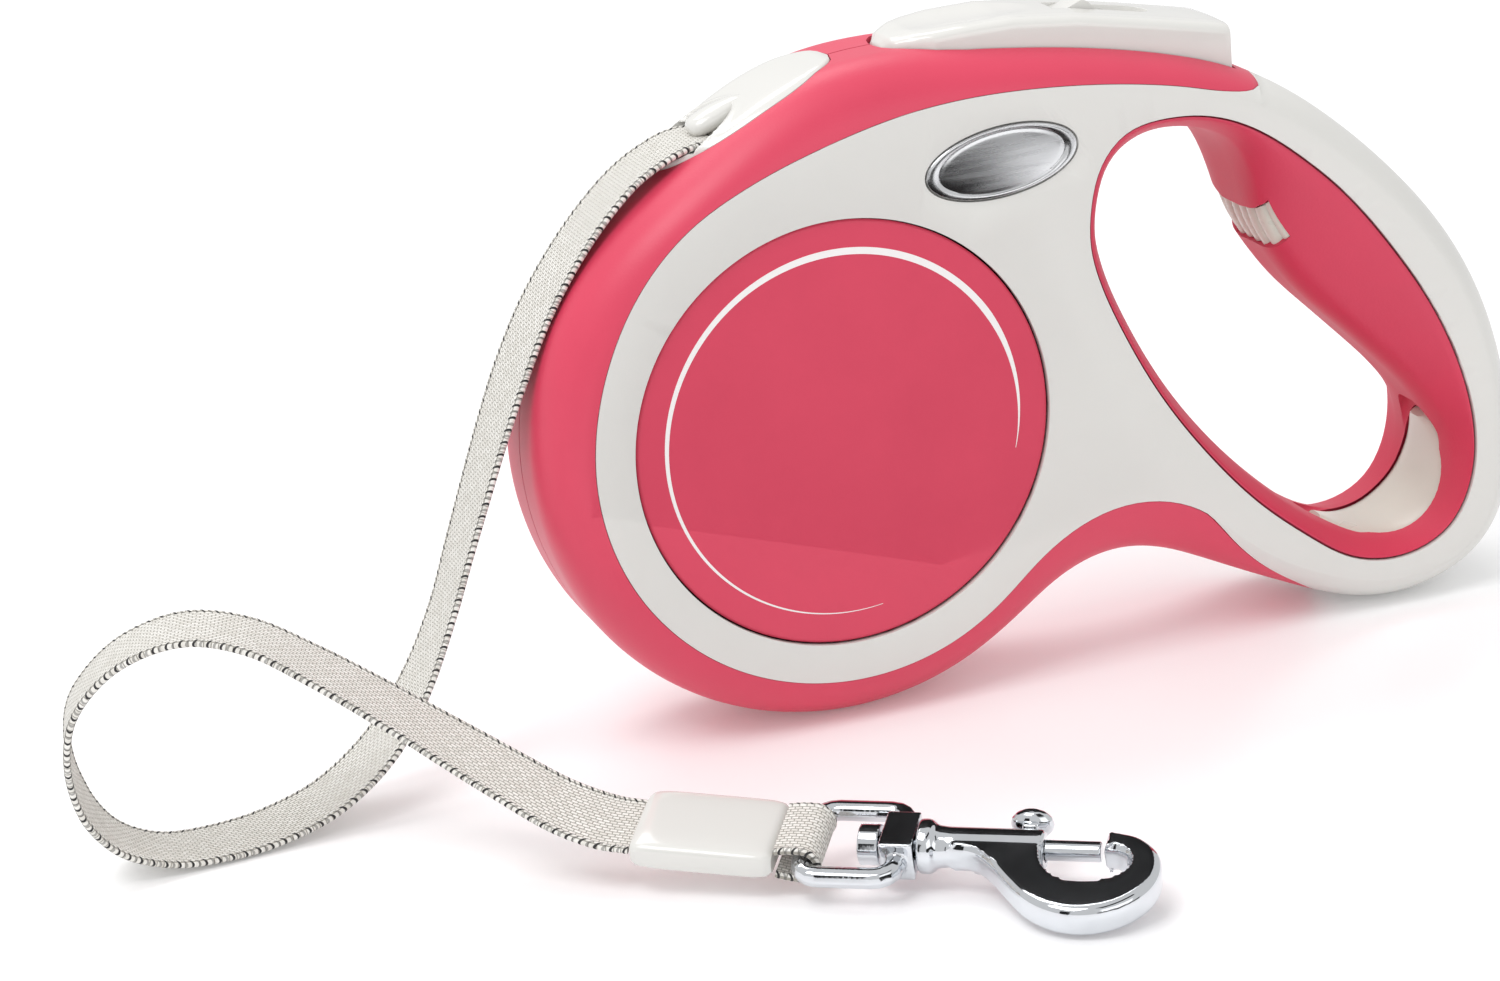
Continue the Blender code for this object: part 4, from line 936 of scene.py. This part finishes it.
def pale_frame(name, side):
    work = bmesh.new()
    starts = reach + FRAME_GAP
    rows = []
    for row in range(SKIN_ROWS + 1):
        share = row / SKIN_ROWS
        rows.append([work.verts.new(both_sides(
            skin(i, starts[i] + (FACE_GIRTH - starts[i]) * share), side))
            for i in range(len(LINE))])
    count = len(LINE)
    for low, high in zip(rows, rows[1:]):
        for i in range(count):
            j = (i + 1) % count
            work.faces.new((low[i], low[j], high[j], high[i]))
    edges = [work.edges.get((rows[-1][i], rows[-1][(i + 1) % count])) for i in range(count)]
    for hole in (circle(DISC_RADIUS + DISC_GAP, 160), LOOP_HOLE):
        ring = [work.verts.new(at(x, side * HALF_THICKNESS, z)) for x, z in hole]
        edges += [work.edges.new((a, b)) for a, b in zip(ring, ring[1:] + ring[:1])]
    bmesh.ops.triangle_fill(work, edges=edges, use_beauty=True)
    made = thing(name, work)
    print(name, "is a sheet of", len(made.data.polygons), "faces")
    step = made.modifiers.new("wall", "SOLIDIFY")
    step.thickness = FRAME_THICKNESS * MM
    step.offset = -1.0
    step.use_even_offset = True
    return settle(made)


frame_near = pale_frame("pale_frame_near", -1)
frame_far = pale_frame("pale_frame_far", 1)

# %% [markdown]
# The thumb button drops into a well along the top of the drum. Seen from above the well has the
# button's own outline, a round nose and a square tail, with a third of a millimetre of room.

# %% The button's well
BUTTON_FROM, BUTTON_TO = 15.4, 75.1
BUTTON_HALF = ((15.4, 0.8), (15.9, 2.9), (17.2, 4.9), (19.5, 6.7), (23.0, 8.3), (28.0, 9.1),
               (36.0, 9.3), (64.0, 9.3), (75.1, 9.0))
WELL_GAP = 0.35
WELL_Z = (44.0, 68.0)


def button_well():
    """The button's outline from above, grown by the gap, as a tall cutter."""
    plan = [(BUTTON_FROM - WELL_GAP, 0.0)]
    plan += [(x - WELL_GAP * (x < 20), half + WELL_GAP) for x, half in BUTTON_HALF[:-1]]
    plan += [(BUTTON_TO + 0.6, BUTTON_HALF[-1][1] + WELL_GAP)]
    plan += [(x, -y) for x, y in plan[:0:-1]]
    return thing("well", skinned([[at(x, y, z) for x, y in plan] for z in WELL_Z]))


for shell in (red_near, red_far, frame_near, frame_far):
    combine(shell, button_well(), "DIFFERENCE")

# %% [markdown]
# The mouth piece is a pale leaf let into the rim where the tape comes out. It follows the rim's
# curve both ways, and an eye-shaped dish with a raised lip is sunk into its pointed end. A grid
# of heights over the rim draws it all in one function: the leaf's edge, the dish and the lip.

# %% Mouth piece
LEAF_FROM, LEAF_TO = 31.72, 34.78
LEAF_HALF_WIDTH = 9.5
LEAF_HEIGHT = 0.5
LEAF_FLOOR = -5.4
DISH_CENTRE = 33.92
DISH_HALF_KEYS = 0.78
DISH_HALF_WIDTH = 6.9
DISH_DEPTH = 4.0
LIP_HEIGHT = 0.4


def rim_point(number, y, height):
    """A point over the rim, by the outline's key number, with the tread's roll at its sides."""
    whole = np.concatenate([NUMBERS, [KEY_COUNT]])
    x, z = (np.interp(number, whole, np.append(LINE[:, k], LINE[0, k])) for k in (0, 1))
    nx, nz = (np.interp(number, whole, np.append(OUT[:, k], OUT[0, k])) for k in (0, 1))
    inset = np.interp(number, whole, np.append(INSET, INSET[0]))
    rolled = max(0.0, (abs(y) - TREAD_HALF_WIDTH) / (HALF_THICKNESS - TREAD_HALF_WIDTH))
    turn = math.asin(min(1.0, rolled * math.sin(RIM_ARC)))
    inward = inset * (1 - math.cos(turn)) / (1 - math.cos(RIM_ARC))
    return at(x + nx * (height - inward), y, z + nz * (height - inward))


def dish_height(number, y):
    """The leaf's height over the rim at one place: level, raised at the lip, sunk in the dish."""
    away = math.hypot((number - DISH_CENTRE) / DISH_HALF_KEYS, y / DISH_HALF_WIDTH)
    lip = LIP_HEIGHT * math.exp(-((away - 1.0) / 0.11) ** 2)
    sunk = DISH_DEPTH * (1 - min(away, 1.0) ** 2.2) if away < 1 else 0.0
    return LEAF_HEIGHT + lip - sunk


def leaf(name, grow, top, floor):
    """A closed leaf over the rim; top is a function of place, floor a height."""
    numbers = np.linspace(LEAF_FROM - grow * 0.06, LEAF_TO + grow * 0.06, 74)
    rings = []
    for place, number in enumerate(numbers):
        share = place / (len(numbers) - 1)
        span = abs(2 * share**0.8 - 1) ** 2.4
        half = (LEAF_HALF_WIDTH + grow) * max(1 - span, 0.004) ** 0.55
        ring = []
        for q in np.linspace(-1, 1, 43):
            edge = 0.5 * max(0.0, abs(q) ** 14)
            end = 0.5 * max(0.0, 1 - min(share, 1 - share) * 26) ** 2
            ring.append(rim_point(number, q * half, top(number, q * half) - edge - end))
        for q in np.linspace(1, -1, 12):
            ring.append(rim_point(number, q * half, floor))
        rings.append(ring)
    return thing(name, skinned(rings))


collar = leaf("mouth_piece", 0.0, dish_height, LEAF_FLOOR)
for shell in (red_near, red_far):
    pocket = leaf("pocket", 0.15, lambda number, y: 6.0, LEAF_FLOOR - 3.0)
    combine(shell, pocket, "DIFFERENCE")

INNER_RUN = ((5.0, 44.6), (-3.0, 46.7), (-9.0, 48.1), (-14.2, 49.0), (-18.4, 49.2), (-26.0, 49.0))
SLOT_ROOM = 1.05


def tape_slot():
    """Room for the tape through the mouth piece."""
    middle = smooth_line(INNER_RUN, 3)
    step = np.gradient(middle, axis=0)
    step /= np.linalg.norm(step, axis=1)[:, None]
    side = np.stack([-step[:, 1], step[:, 0]], 1) * SLOT_ROOM
    outline = np.vstack([middle + side, (middle - side)[::-1]])
    return extruded("slot", [outline], -TAPE_WIDTH / 2 - 0.5, TAPE_WIDTH / 2 + 0.5)


combine(collar, tape_slot(), "DIFFERENCE")
for shell in (red_near, red_far):
    combine(shell, tape_slot(), "DIFFERENCE")
piece(collar, PALE_GLOSS, "root", "pale_gloss", "tape_collar")

# %% [markdown]
# In the dish sits a drop-shaped hood that keeps the tape down: a round bulb over the tape and a
# tail that fades into the leaf. It is a ball whose rings shrink along the tail.

# %% Tape hood
HOOD_FROM = (-17.2, 50.4)
HOOD_TO = (-7.2, 54.6)
HOOD_RADIUS = 3.0


def hood():
    start, end = np.array(HOOD_FROM), np.array(HOOD_TO)
    along = (end - start) / np.linalg.norm(end - start)
    up = np.array([-along[1], along[0]])
    rings = []
    for share in (1 - np.cos(np.linspace(0, math.pi, 34))) / 2:
        radius = HOOD_RADIUS * math.sqrt(max(1 - abs(2 * share**0.62 - 1) ** 2.0, 0.0)) + 0.02
        middle = start + (end - start) * share
        ring = []
        for step in range(28):
            angle = 2 * math.pi * step / 28
            x, z = middle + up * (0.62 * radius * math.sin(angle) - 0.25)
            ring.append(at(x, radius * math.cos(angle), z))
        rings.append(ring)
    return thing("tape_hood", skinned(rings))


piece(hood(), PALE_GLOSS, "root", "pale_gloss", "tape_guide")

# %% [markdown]
# Each shell now stands for its half of the mechanical housing. The frames get an oval recess for
# the badge and the rounded lip, and stand for their own solids.

# %% Finish the shells and frames
LIP = 0.55
for shell, node in ((red_near, "housing_near"), (red_far, "housing_far")):
    piece(shell, RED_ABS, "root", "red_abs", node)
BADGE_CENTRE = (30.2, 40.8)
BADGE_HALF_LENGTH = 13.3
BADGE_HALF_HEIGHT = 5.7
BADGE_TILT = math.radians(5)


def badge_line(grow, steps=72):
    """The badge's oval, grown by some millimetres."""
    turn = np.array([[math.cos(BADGE_TILT), math.sin(BADGE_TILT)],
                     [-math.sin(BADGE_TILT), math.cos(BADGE_TILT)]])
    size = (BADGE_HALF_LENGTH + grow, BADGE_HALF_HEIGHT + grow)
    return circle(1.0, steps) * size @ turn + BADGE_CENTRE


for cover, side, node in ((frame_near, -1, "side_frame_near"), (frame_far, 1, "side_frame_far")):
    near, far = sorted((side * (HALF_THICKNESS - 1.1), side * 20.0))
    combine(cover, extruded("recess", [badge_line(0.3)], near, far), "DIFFERENCE")
    rounded(cover, LIP, segments=3, angle=50)
    piece(cover, PALE_ABS, "root", "pale_abs", node)

# %% [markdown]
# The disc is a shallow dome of the same red, let into the frame. A thin printed ring runs round
# it: a hair at the bottom, thick in between and drawn out to a fine point at its other end. The
# badge is a plain pillow of brushed metal inside a raised rim. Both are rings of points about
# their own centre.

# %% Discs, printed rings and badges
DISC_FACE = 15.5
DISC_CROWN = 0.35
DISC_BACK = 14.3
RING_RADIUS = 30.6
RING_WIDTH = 1.15
RING_FROM, RING_TO = math.radians(-82), math.radians(-375)
RING_HEIGHT = 0.06


def disc_height(radius):
    """The disc's face, crowned in the middle and rolled at the edge."""
    share = radius / DISC_RADIUS
    roll = max(0.0, share - 0.985) / 0.015
    return DISC_FACE + DISC_CROWN * (1 - share**2) - 0.35 * roll**2


def disc(name, side, node):
    radii = [*np.linspace(1.0, DISC_RADIUS * 0.97, 26), *np.linspace(0.98, 1.0, 7) * DISC_RADIUS]
    rings = [[at(x, side * disc_height(radius), z) for x, z in circle(radius, 128)]
             for radius in radii]
    rings += [[at(x, side * DISC_BACK, z) for x, z in circle(radius, 128)]
              for radius in (DISC_RADIUS, 1.0)]
    return piece(thing(name, skinned(rings)), RED_ABS, "root", "red_abs", node)


def printed_ring(name, side):
    rings = []
    for share in np.linspace(0, 1, 150):
        angle = RING_FROM + (RING_TO - RING_FROM) * share
        width = RING_WIDTH * min(1.0, 0.06 + 1.5 * share, 0.06 + 6.0 * (1 - share))
        ring = []
        for radius, height in ((-0.5, -0.2), (-0.5, 1.0), (0.5, 1.0), (0.5, -0.2)):
            far = RING_RADIUS + radius * width
            level = disc_height(far) + RING_HEIGHT * height
            ring.append(at(far * math.cos(angle), side * level, far * math.sin(angle)))
        rings.append(ring)
    made = thing(name, skinned(rings))
    return piece(made, WHITE_INK, "root", "pale_abs")


def badge(name, side, node):
    """Pillow, groove and raised rim, from the middle outwards, as shares and heights."""
    profile = [(0.02, 0.16), (0.2, 0.155), (0.4, 0.13), (0.6, 0.09), (0.74, 0.04), (0.8, -0.02),
               (0.825, -0.1), (0.845, -0.1), (0.86, 0.0), (0.88, 0.14), (0.91, 0.24),
               (0.945, 0.27), (0.975, 0.22), (0.992, 0.1), (1.0, -0.1), (1.0, -0.8), (0.02, -0.8)]
    oval = badge_line(0.0) - np.array(BADGE_CENTRE)
    rings = [[at(x, side * (HALF_THICKNESS + height), z)
              for x, z in oval * share + np.array(BADGE_CENTRE)] for share, height in profile]
    return piece(thing(name, skinned(rings)), ALUMINIUM, "root", "badge_metal", node)


for word, side in (("near", -1), ("far", 1)):
    disc(f"disc_{word}", side, f"side_disc_{word}")
    printed_ring(f"disc_ring_{word}", side)
    badge(f"plain_badge_{word}", side, f"badge_{word}")

# %% [markdown]
# The hand loop is lined with soft rubber that swells towards the palm. The lining is a ring loft:
# its section starts behind the pale frame, shows a small lip, and rounds over to the narrowest
# line at the seam. Where the hand rest slides, and round the ribbed finger piece, it is cut away.

# %% Grip lining
GRIP_FLANGE = 2.4
GRIP_SECTION = ((0.0, 15.5), (0.06, 15.45), (0.2, 14.9), (0.45, 13.2), (0.68, 11.3), (0.85, 9.6),
                (0.96, 7.0), (1.0, 4.5), (1.0, 2.0), (1.0, 0.0))
LOOP_OUT = normals(LOOP_HOLE)
GRIP_OUT = normals(GRIP_LINE)


def lining():
    section = smooth_line(GRIP_SECTION, 3)
    lip = LOOP_HOLE - LOOP_OUT * 0.35
    rings = []
    for i in range(len(LOOP_HOLE)):
        half = [(*(LOOP_HOLE[i] + LOOP_OUT[i] * GRIP_FLANGE), 14.3), (*lip[i], 14.3)]
        half += [(*(lip[i] + (GRIP_LINE[i] - lip[i]) * share), depth) for share, depth in section]
        ring = [at(x, -y, z) for x, z, y in half] + [at(x, y, z) for x, z, y in half[-2::-1]]
        rings.append(ring)
    return thing("soft_grip", skinned(rings, closed=True))


def on_grip(number, outward):
    """A point along the grip's line, so far outside it, as x and z."""
    x, z = (np.interp(number, LOOP_NUMBERS, GRIP_LINE[:, k]) for k in (0, 1))
    nx, nz = (np.interp(number, LOOP_NUMBERS, GRIP_OUT[:, k]) for k in (0, 1))
    return np.array([x + nx * outward, z + nz * outward])


# %% [markdown]
# The hand rest is a pale leaf that lies in the bottom of the loop. It slides up the grip to suit
# a smaller hand, so the lining is cut for both ends of its travel. The cutter is the same leaf,
# grown by the gap.

# %% Hand rest and its room
REST_FROM, REST_TO = 15.15, 20.95
REST_HALF_WIDTH = 10.0
REST_DEPTH = 2.9
REST_GAP = 0.3
slide = JOINTS["hand_size"]
SLIDE_WAY = Vector(slide["axis"]).normalized()
SLIDE_TRAVEL = slide["range_m"][1]


def rest_leaf(name, grow, proud, shift=0.0):
    rings = []
    numbers = np.linspace(REST_FROM - grow * 0.1, REST_TO + grow * 0.1, 46)
    for place, number in enumerate(numbers):
        share = place / (len(numbers) - 1)
        half = (REST_HALF_WIDTH * (0.22 + 0.78 * math.sin(math.pi * share) ** 0.7) + grow)
        ring = []
        for across, rise in superellipse(half, (REST_DEPTH + proud) / 2 + grow, 3.2, 36):
            inner = max(0.0, 1 - (across / (REST_HALF_WIDTH + grow + 0.2)) ** 2) ** 0.5
            middle = (REST_DEPTH - proud) / 2 + 0.9 * (1 - inner)
            x, z = on_grip(number, middle + rise)
            ring.append(at(x, across, z) + SLIDE_WAY * shift)
        rings.append(ring)
    return thing(name, skinned(rings))


grip = lining()
for gap, shift in ((REST_GAP, 0.0), (REST_GAP / 3, SLIDE_TRAVEL)):
    combine(grip, rest_leaf("rest_room", gap, 0.5, shift), "DIFFERENCE")
piece(rest_leaf("hand_rest_leaf", 0.0, 0.25), PALE_HAND, "hand_slide", "pale_gloss", "hand_rest")

# %% [markdown]
# A ribbed piece on the palm side moves with the hand rest. It is a strip of half-round ribs that
# run along the grip and wrap round it, and it shows through a window in the soft lining. The
# strip is longer than the window and runs in a tunnel behind it, so that the window stays filled
# wherever the slide stands. Window, tunnel and strip follow the lining's own section. The ribs
# stand higher than the tunnel's roof, so at the end of the travel they press into the lining.

# %% Ribbed finger piece
WINDOW = (7.72, 8.86)
STRIP = (7.6, 9.55)
TUNNEL = (6.9, 9.65)
RIB_COUNT = 7
RIB_HALF_SPAN = 10.4
RIB_SUNK = 0.45
RIB_HEIGHT = 0.8
STRIP_BACK = 3.4
ROOF = 1.0
section_curve = smooth_line(GRIP_SECTION, 6)[::-1]


def wrapped(name, span, half_span, outer, back, steps=24, across=85):
    """A block that follows the grip's section: outer is a depth by place, back a plain depth."""
    rings = []
    for number in np.linspace(*span, steps):
        points = [np.array([np.interp(number, LOOP_NUMBERS, LOOP[:, k]) for k in (m, m + 1)])
                  for m in (0, 2)]
        way = on_grip(number, 1.0) - on_grip(number, 0.0)
        ring = []
        for y in np.linspace(-half_span, half_span, across):
            share = np.interp(abs(y), section_curve[:, 1], section_curve[:, 0])
            x, z = points[0] + (points[1] - points[0]) * share + way * outer(y / half_span)
            ring.append(at(x, y, z))
        for y in np.linspace(half_span, -half_span, 21):
            share = np.interp(abs(y), section_curve[:, 1], section_curve[:, 0])
            x, z = points[0] + (points[1] - points[0]) * share + way * back
            ring.append(at(x, y, z))
        rings.append(ring)
    return thing(name, skinned(rings))


def rib_depth(share):
    return RIB_SUNK + RIB_HEIGHT * (1 - abs(math.sin(share * RIB_COUNT * math.pi / 2)) ** 0.6)


window = wrapped("window", WINDOW, RIB_HALF_SPAN + 0.3, lambda share: -3.0, ROOF + 0.5)
tunnel = wrapped("tunnel", TUNNEL, RIB_HALF_SPAN + 0.5, lambda share: ROOF, STRIP_BACK + 0.4)
combine(grip, window, "DIFFERENCE")
combine(grip, tunnel, "DIFFERENCE")
piece(grip, RED_RUBBER, "root", "red_soft_grip", "grip_lining")


def strip():
    """The ribs, lower by the roof's thickness where the lining covers them."""
    shown = wrapped("ribbed_finger_piece", (WINDOW[0] + 0.03, WINDOW[1] - 0.03), RIB_HALF_SPAN,
                    rib_depth, STRIP_BACK - 0.3)
    hidden = wrapped("hidden_strip", STRIP, RIB_HALF_SPAN, lambda share: ROOF + 0.25, STRIP_BACK)
    return combine(shown, hidden, "UNION")


piece(strip(), PALE_HAND, "hand_slide", "pale_abs", "ribbed_slider")

# %% [markdown]
# The brake button is a long glossy key with a round nose, a thumb dish in its top, a slot for the
# lock and a square tail. It is lofted along x: each section is a rounded rectangle whose top, foot
# and width are read from three short lists.

# %% Brake button
BUTTON_TOP = ((15.4, 57.6), (15.9, 59.3), (17.2, 60.5), (20.5, 61.35), (27.7, 61.9), (36.7, 62.0),
              (48.3, 60.7), (61.3, 58.1), (72.6, 55.7), (75.1, 55.1))
BUTTON_FOOT = ((15.4, 57.2), (16.4, 56.0), (20.0, 53.6), (45.0, 50.6), (67.0, 47.6), (71.0, 46.4),
               (75.1, 46.4))
DISH_X = 31.0
DISH_LENGTH = 12.0
DISH_ACROSS = 6.6
THUMB_DISH = 0.85
BUTTON_CORNER = 1.7
BUTTON_CROWN = 0.25
LOCK_START = np.array((46.5, 60.2))
LOCK_SLOPE = math.radians(-11.2)
LOCK_LENGTH = 11.0
LOCK_HALF_WIDTH = 2.3
LOCK_FOOT = 1.7
LOCK_GAP = 0.35
LOCK_ROOM = 6.4


def button():
    top_x, top_z = np.array(BUTTON_TOP).T
    foot_x, foot_z = np.array(BUTTON_FOOT).T
    half_x, half_y = np.array(BUTTON_HALF).T
    ends = BUTTON_FROM + (BUTTON_TO - BUTTON_FROM) * np.linspace(0, 1, 80) ** 1.6
    rings = []
    for x in ends:
        top = np.interp(x, top_x, top_z)
        foot = np.interp(x, foot_x, foot_z)
        half = np.interp(x, half_x, half_y)
        corner = min(BUTTON_CORNER, half * 0.8, (top - foot) * 0.45)
        ring = [at(x, -half, foot), at(x, half, foot)]
        for angle in np.linspace(0, math.pi / 2, 8):
            ring.append(at(x, half - corner * (1 - math.cos(angle)),
                           top - corner * (1 - math.sin(angle))))
        for y in np.linspace(half - corner, corner - half, 20)[1:-1]:
            away = math.hypot((x - DISH_X) / DISH_LENGTH, y / DISH_ACROSS)
            sunk = THUMB_DISH * max(0.0, 1 - away**2) ** 1.3
            crown = BUTTON_CROWN * (1 - (y / half) ** 2)
            ring.append(at(x, y, top - sunk + crown))
        for angle in np.linspace(math.pi / 2, 0, 8):
            ring.append(at(x, -half + corner * (1 - math.cos(angle)),
                           top - corner * (1 - math.sin(angle))))
        rings.append(ring)
    return thing("thumb_button", skinned(rings))


def along_back(profile):
    """A profile of distance along the button's sloping back and height over it."""
    along = np.array([math.cos(LOCK_SLOPE), math.sin(LOCK_SLOPE)])
    up = np.array([-along[1], along[0]])
    return np.array([LOCK_START + along * a + up * b for a, b in profile])


def lock_slot():
    """The slot in the button's back, round at its far end."""
    run = LOCK_LENGTH + LOCK_GAP + LOCK_ROOM
    half = LOCK_HALF_WIDTH + LOCK_GAP
    plan = [(-LOCK_GAP, -half), (-LOCK_GAP, half)]
    plan += [(run - half + half * math.sin(angle), half * math.cos(angle))
             for angle in np.linspace(0, math.pi, 15)]
    rings = []
    for height in (-LOCK_FOOT - LOCK_GAP, 3.0):
        places = along_back([(a, height) for a, _ in plan])
        rings.append([at(x, y, z) for (x, z), (_, y) in zip(places, plan)])
    return thing("lock_slot", skinned(rings))


thumb_button = combine(button(), lock_slot(), "DIFFERENCE")
thumb_button = rounded(thumb_button, 0.3, segments=2, angle=45)
piece(thumb_button, PALE_GLOSS, "button", "pale_gloss", "brake_button")

# %% [markdown]
# The lock is a small wedge with a pushing edge across it. Its side outline is a smooth curve, and
# its edges are rounded.

# %% Lock slider
LOCK_TOP = ((0.0, 0.2), (1.0, 0.45), (2.6, 1.1), (4.2, 2.15), (5.0, 2.45), (5.9, 2.2), (7.6, 1.1),
            (9.4, 0.55), (LOCK_LENGTH, 0.35))
lock_outline = [(0.0, -LOCK_FOOT), *map(tuple, smooth_line(LOCK_TOP, 4)),
                (LOCK_LENGTH, -LOCK_FOOT)]
lock = extruded("lock_wedge", [along_back(lock_outline)], -LOCK_HALF_WIDTH, LOCK_HALF_WIDTH)
piece(rounded(lock, 0.35, angle=60), PALE_GLOSS, "lock", "pale_abs", "lock_slider")

# %% [markdown]
# The pieces inside keep the shapes of the mechanical model, because only their edges can ever be
# seen. Each gets the finish of what it is really made of.

# %% Finishes for the pieces inside
INSIDE = {
    "reel_hub": BLACK_ACETAL, "reel_ratchet_flange": BLACK_ACETAL, "spring_cover": BLACK_ACETAL,
    "brake_pawl": BLACK_ACETAL, "slide_bar": BLACK_ACETAL, "guide_roller": BLACK_ACETAL,
    "reel_axle": STEEL, "power_spring": STEEL, "button_spring": STEEL, "button_pin": STEEL,
    "roller_pin": STEEL, "housing_screw_1": STEEL, "housing_screw_2": STEEL,
    "housing_screw_3": STEEL,
}
# Tape inside the drum: the same polyester, seen too small for its weave to be laid out.
TAPE_INSIDE = moulded("wound_polyester_tape", "#dedad2", 0.8, 1.1, 0.25, cloud=0.06)
INSIDE["tape_winding"] = TAPE_INSIDE
INSIDE["tape_inner_run"] = TAPE_INSIDE
for name, finish in INSIDE.items():
    finish_node(name, finish)
print(len(INSIDE), "inner pieces given a finish")

# %% [markdown]
# ## Light
# The leash lies on a plain white table in a bright room. Three large soft lamps and a white sky
# light it almost evenly, and the lamp above and behind draws the soft highlights along the rim.
# Chrome needs something dark to reflect, or it looks like white plastic, so black cards stand
# outside the view, where only reflections see them.

# %% Floor
FLOOR_HALF = 3.0
FLOOR_GAP = 0.00005
FLOOR_GLOW = 0.12
FLOOR_SHINE = 0.2
SKY_STRENGTH = 0.74
floor_work = bmesh.new()
bmesh.ops.create_grid(floor_work, x_segments=1, y_segments=1, size=FLOOR_HALF)
floor = thing("floor", floor_work)
floor.location = (0.0, 0.0, at(0, 0, -FLOOR_BELOW_AXLE).z - FLOOR_GAP)
# White laminate: bright, with a soft reflection.
LAMINATE = moulded("white_laminate", "#f6f6f7", 0.3, 30.0, 0.002, cloud=0.002)
laminate_shader = next(node for node in LAMINATE.node_tree.nodes if node.type == "BSDF_PRINCIPLED")
laminate_shader.inputs["Specular IOR Level"].default_value = FLOOR_SHINE
# The table is lit from below as well, as in a studio, so the shadows stay light.
laminate_shader.inputs["Emission Color"].default_value = (1.0, 1.0, 1.0, 1.0)
laminate_shader.inputs["Emission Strength"].default_value = FLOOR_GLOW
floor.data.materials.append(LAMINATE)

# %% Sky and lamps
world = bpy.data.worlds.new("white_room")
world.use_nodes = True
sky = world.node_tree.nodes["Background"]
sky.inputs["Color"].default_value = (1.0, 1.0, 1.0, 1.0)
sky.inputs["Strength"].default_value = SKY_STRENGTH
bpy.context.scene.world = world
bpy.context.scene.view_settings.view_transform = "Standard"


def aimed(made, place, target):
    """Puts a lamp or a card somewhere and turns it towards a point."""
    made.location = place
    made.rotation_euler = (Vector(target) - Vector(place)).to_track_quat("-Z", "Y").to_euler()
    return made


def soft_lamp(name, place, size, watts):
    lamp = bpy.data.lights.new(name, "AREA")
    lamp.shape = "RECTANGLE"
    lamp.size, lamp.size_y = size
    lamp.energy = watts
    return aimed(placed(name, lamp), place, (0.0, 0.0, 0.05))


soft_lamp("lamp_over_left", (-0.55, -0.25, 1.0), (0.6, 0.5), 4.6)
soft_lamp("lamp_front", (0.25, -1.1, 0.45), (0.9, 0.6), 1.2)
soft_lamp("lamp_behind", (-0.1, 0.6, 1.1), (0.9, 0.5), 4.6)

# %% Black cards
CARD_BLACK = moulded("black_card", "#0a0a0b", 0.9, 5.0, 0.01, cloud=0.02)


def black_card(name, place, size, target):
    work = bmesh.new()
    bmesh.ops.create_grid(work, x_segments=1, y_segments=1, size=0.5)
    bmesh.ops.scale(work, vec=(size[0], size[1], 1.0), verts=work.verts)
    made = thing(name, work)
    made.data.materials.append(CARD_BLACK)
    made.visible_camera = False
    made.visible_diffuse = False
    made.visible_shadow = False
    aimed(made, place, target)


hook_middle = tuple(HOOK @ (Vector((28.0, -4.0, 0.0)) * MM))
black_card("card_low_front", (0.1, -0.5, 0.02), (0.5, 0.12), hook_middle)
black_card("card_left", (-0.45, -0.35, 0.12), (0.12, 0.3), hook_middle)
# The hook's flat faces mirror what is above and behind it, so their card hangs close there.
black_card("card_behind_hook", tuple(Vector(hook_middle) + Vector((0.016, 0.05, 0.047))),
           (0.11, 0.075), hook_middle)
black_card("card_over", (0.05, -0.3, 0.42), (0.3, 0.1), hook_middle)
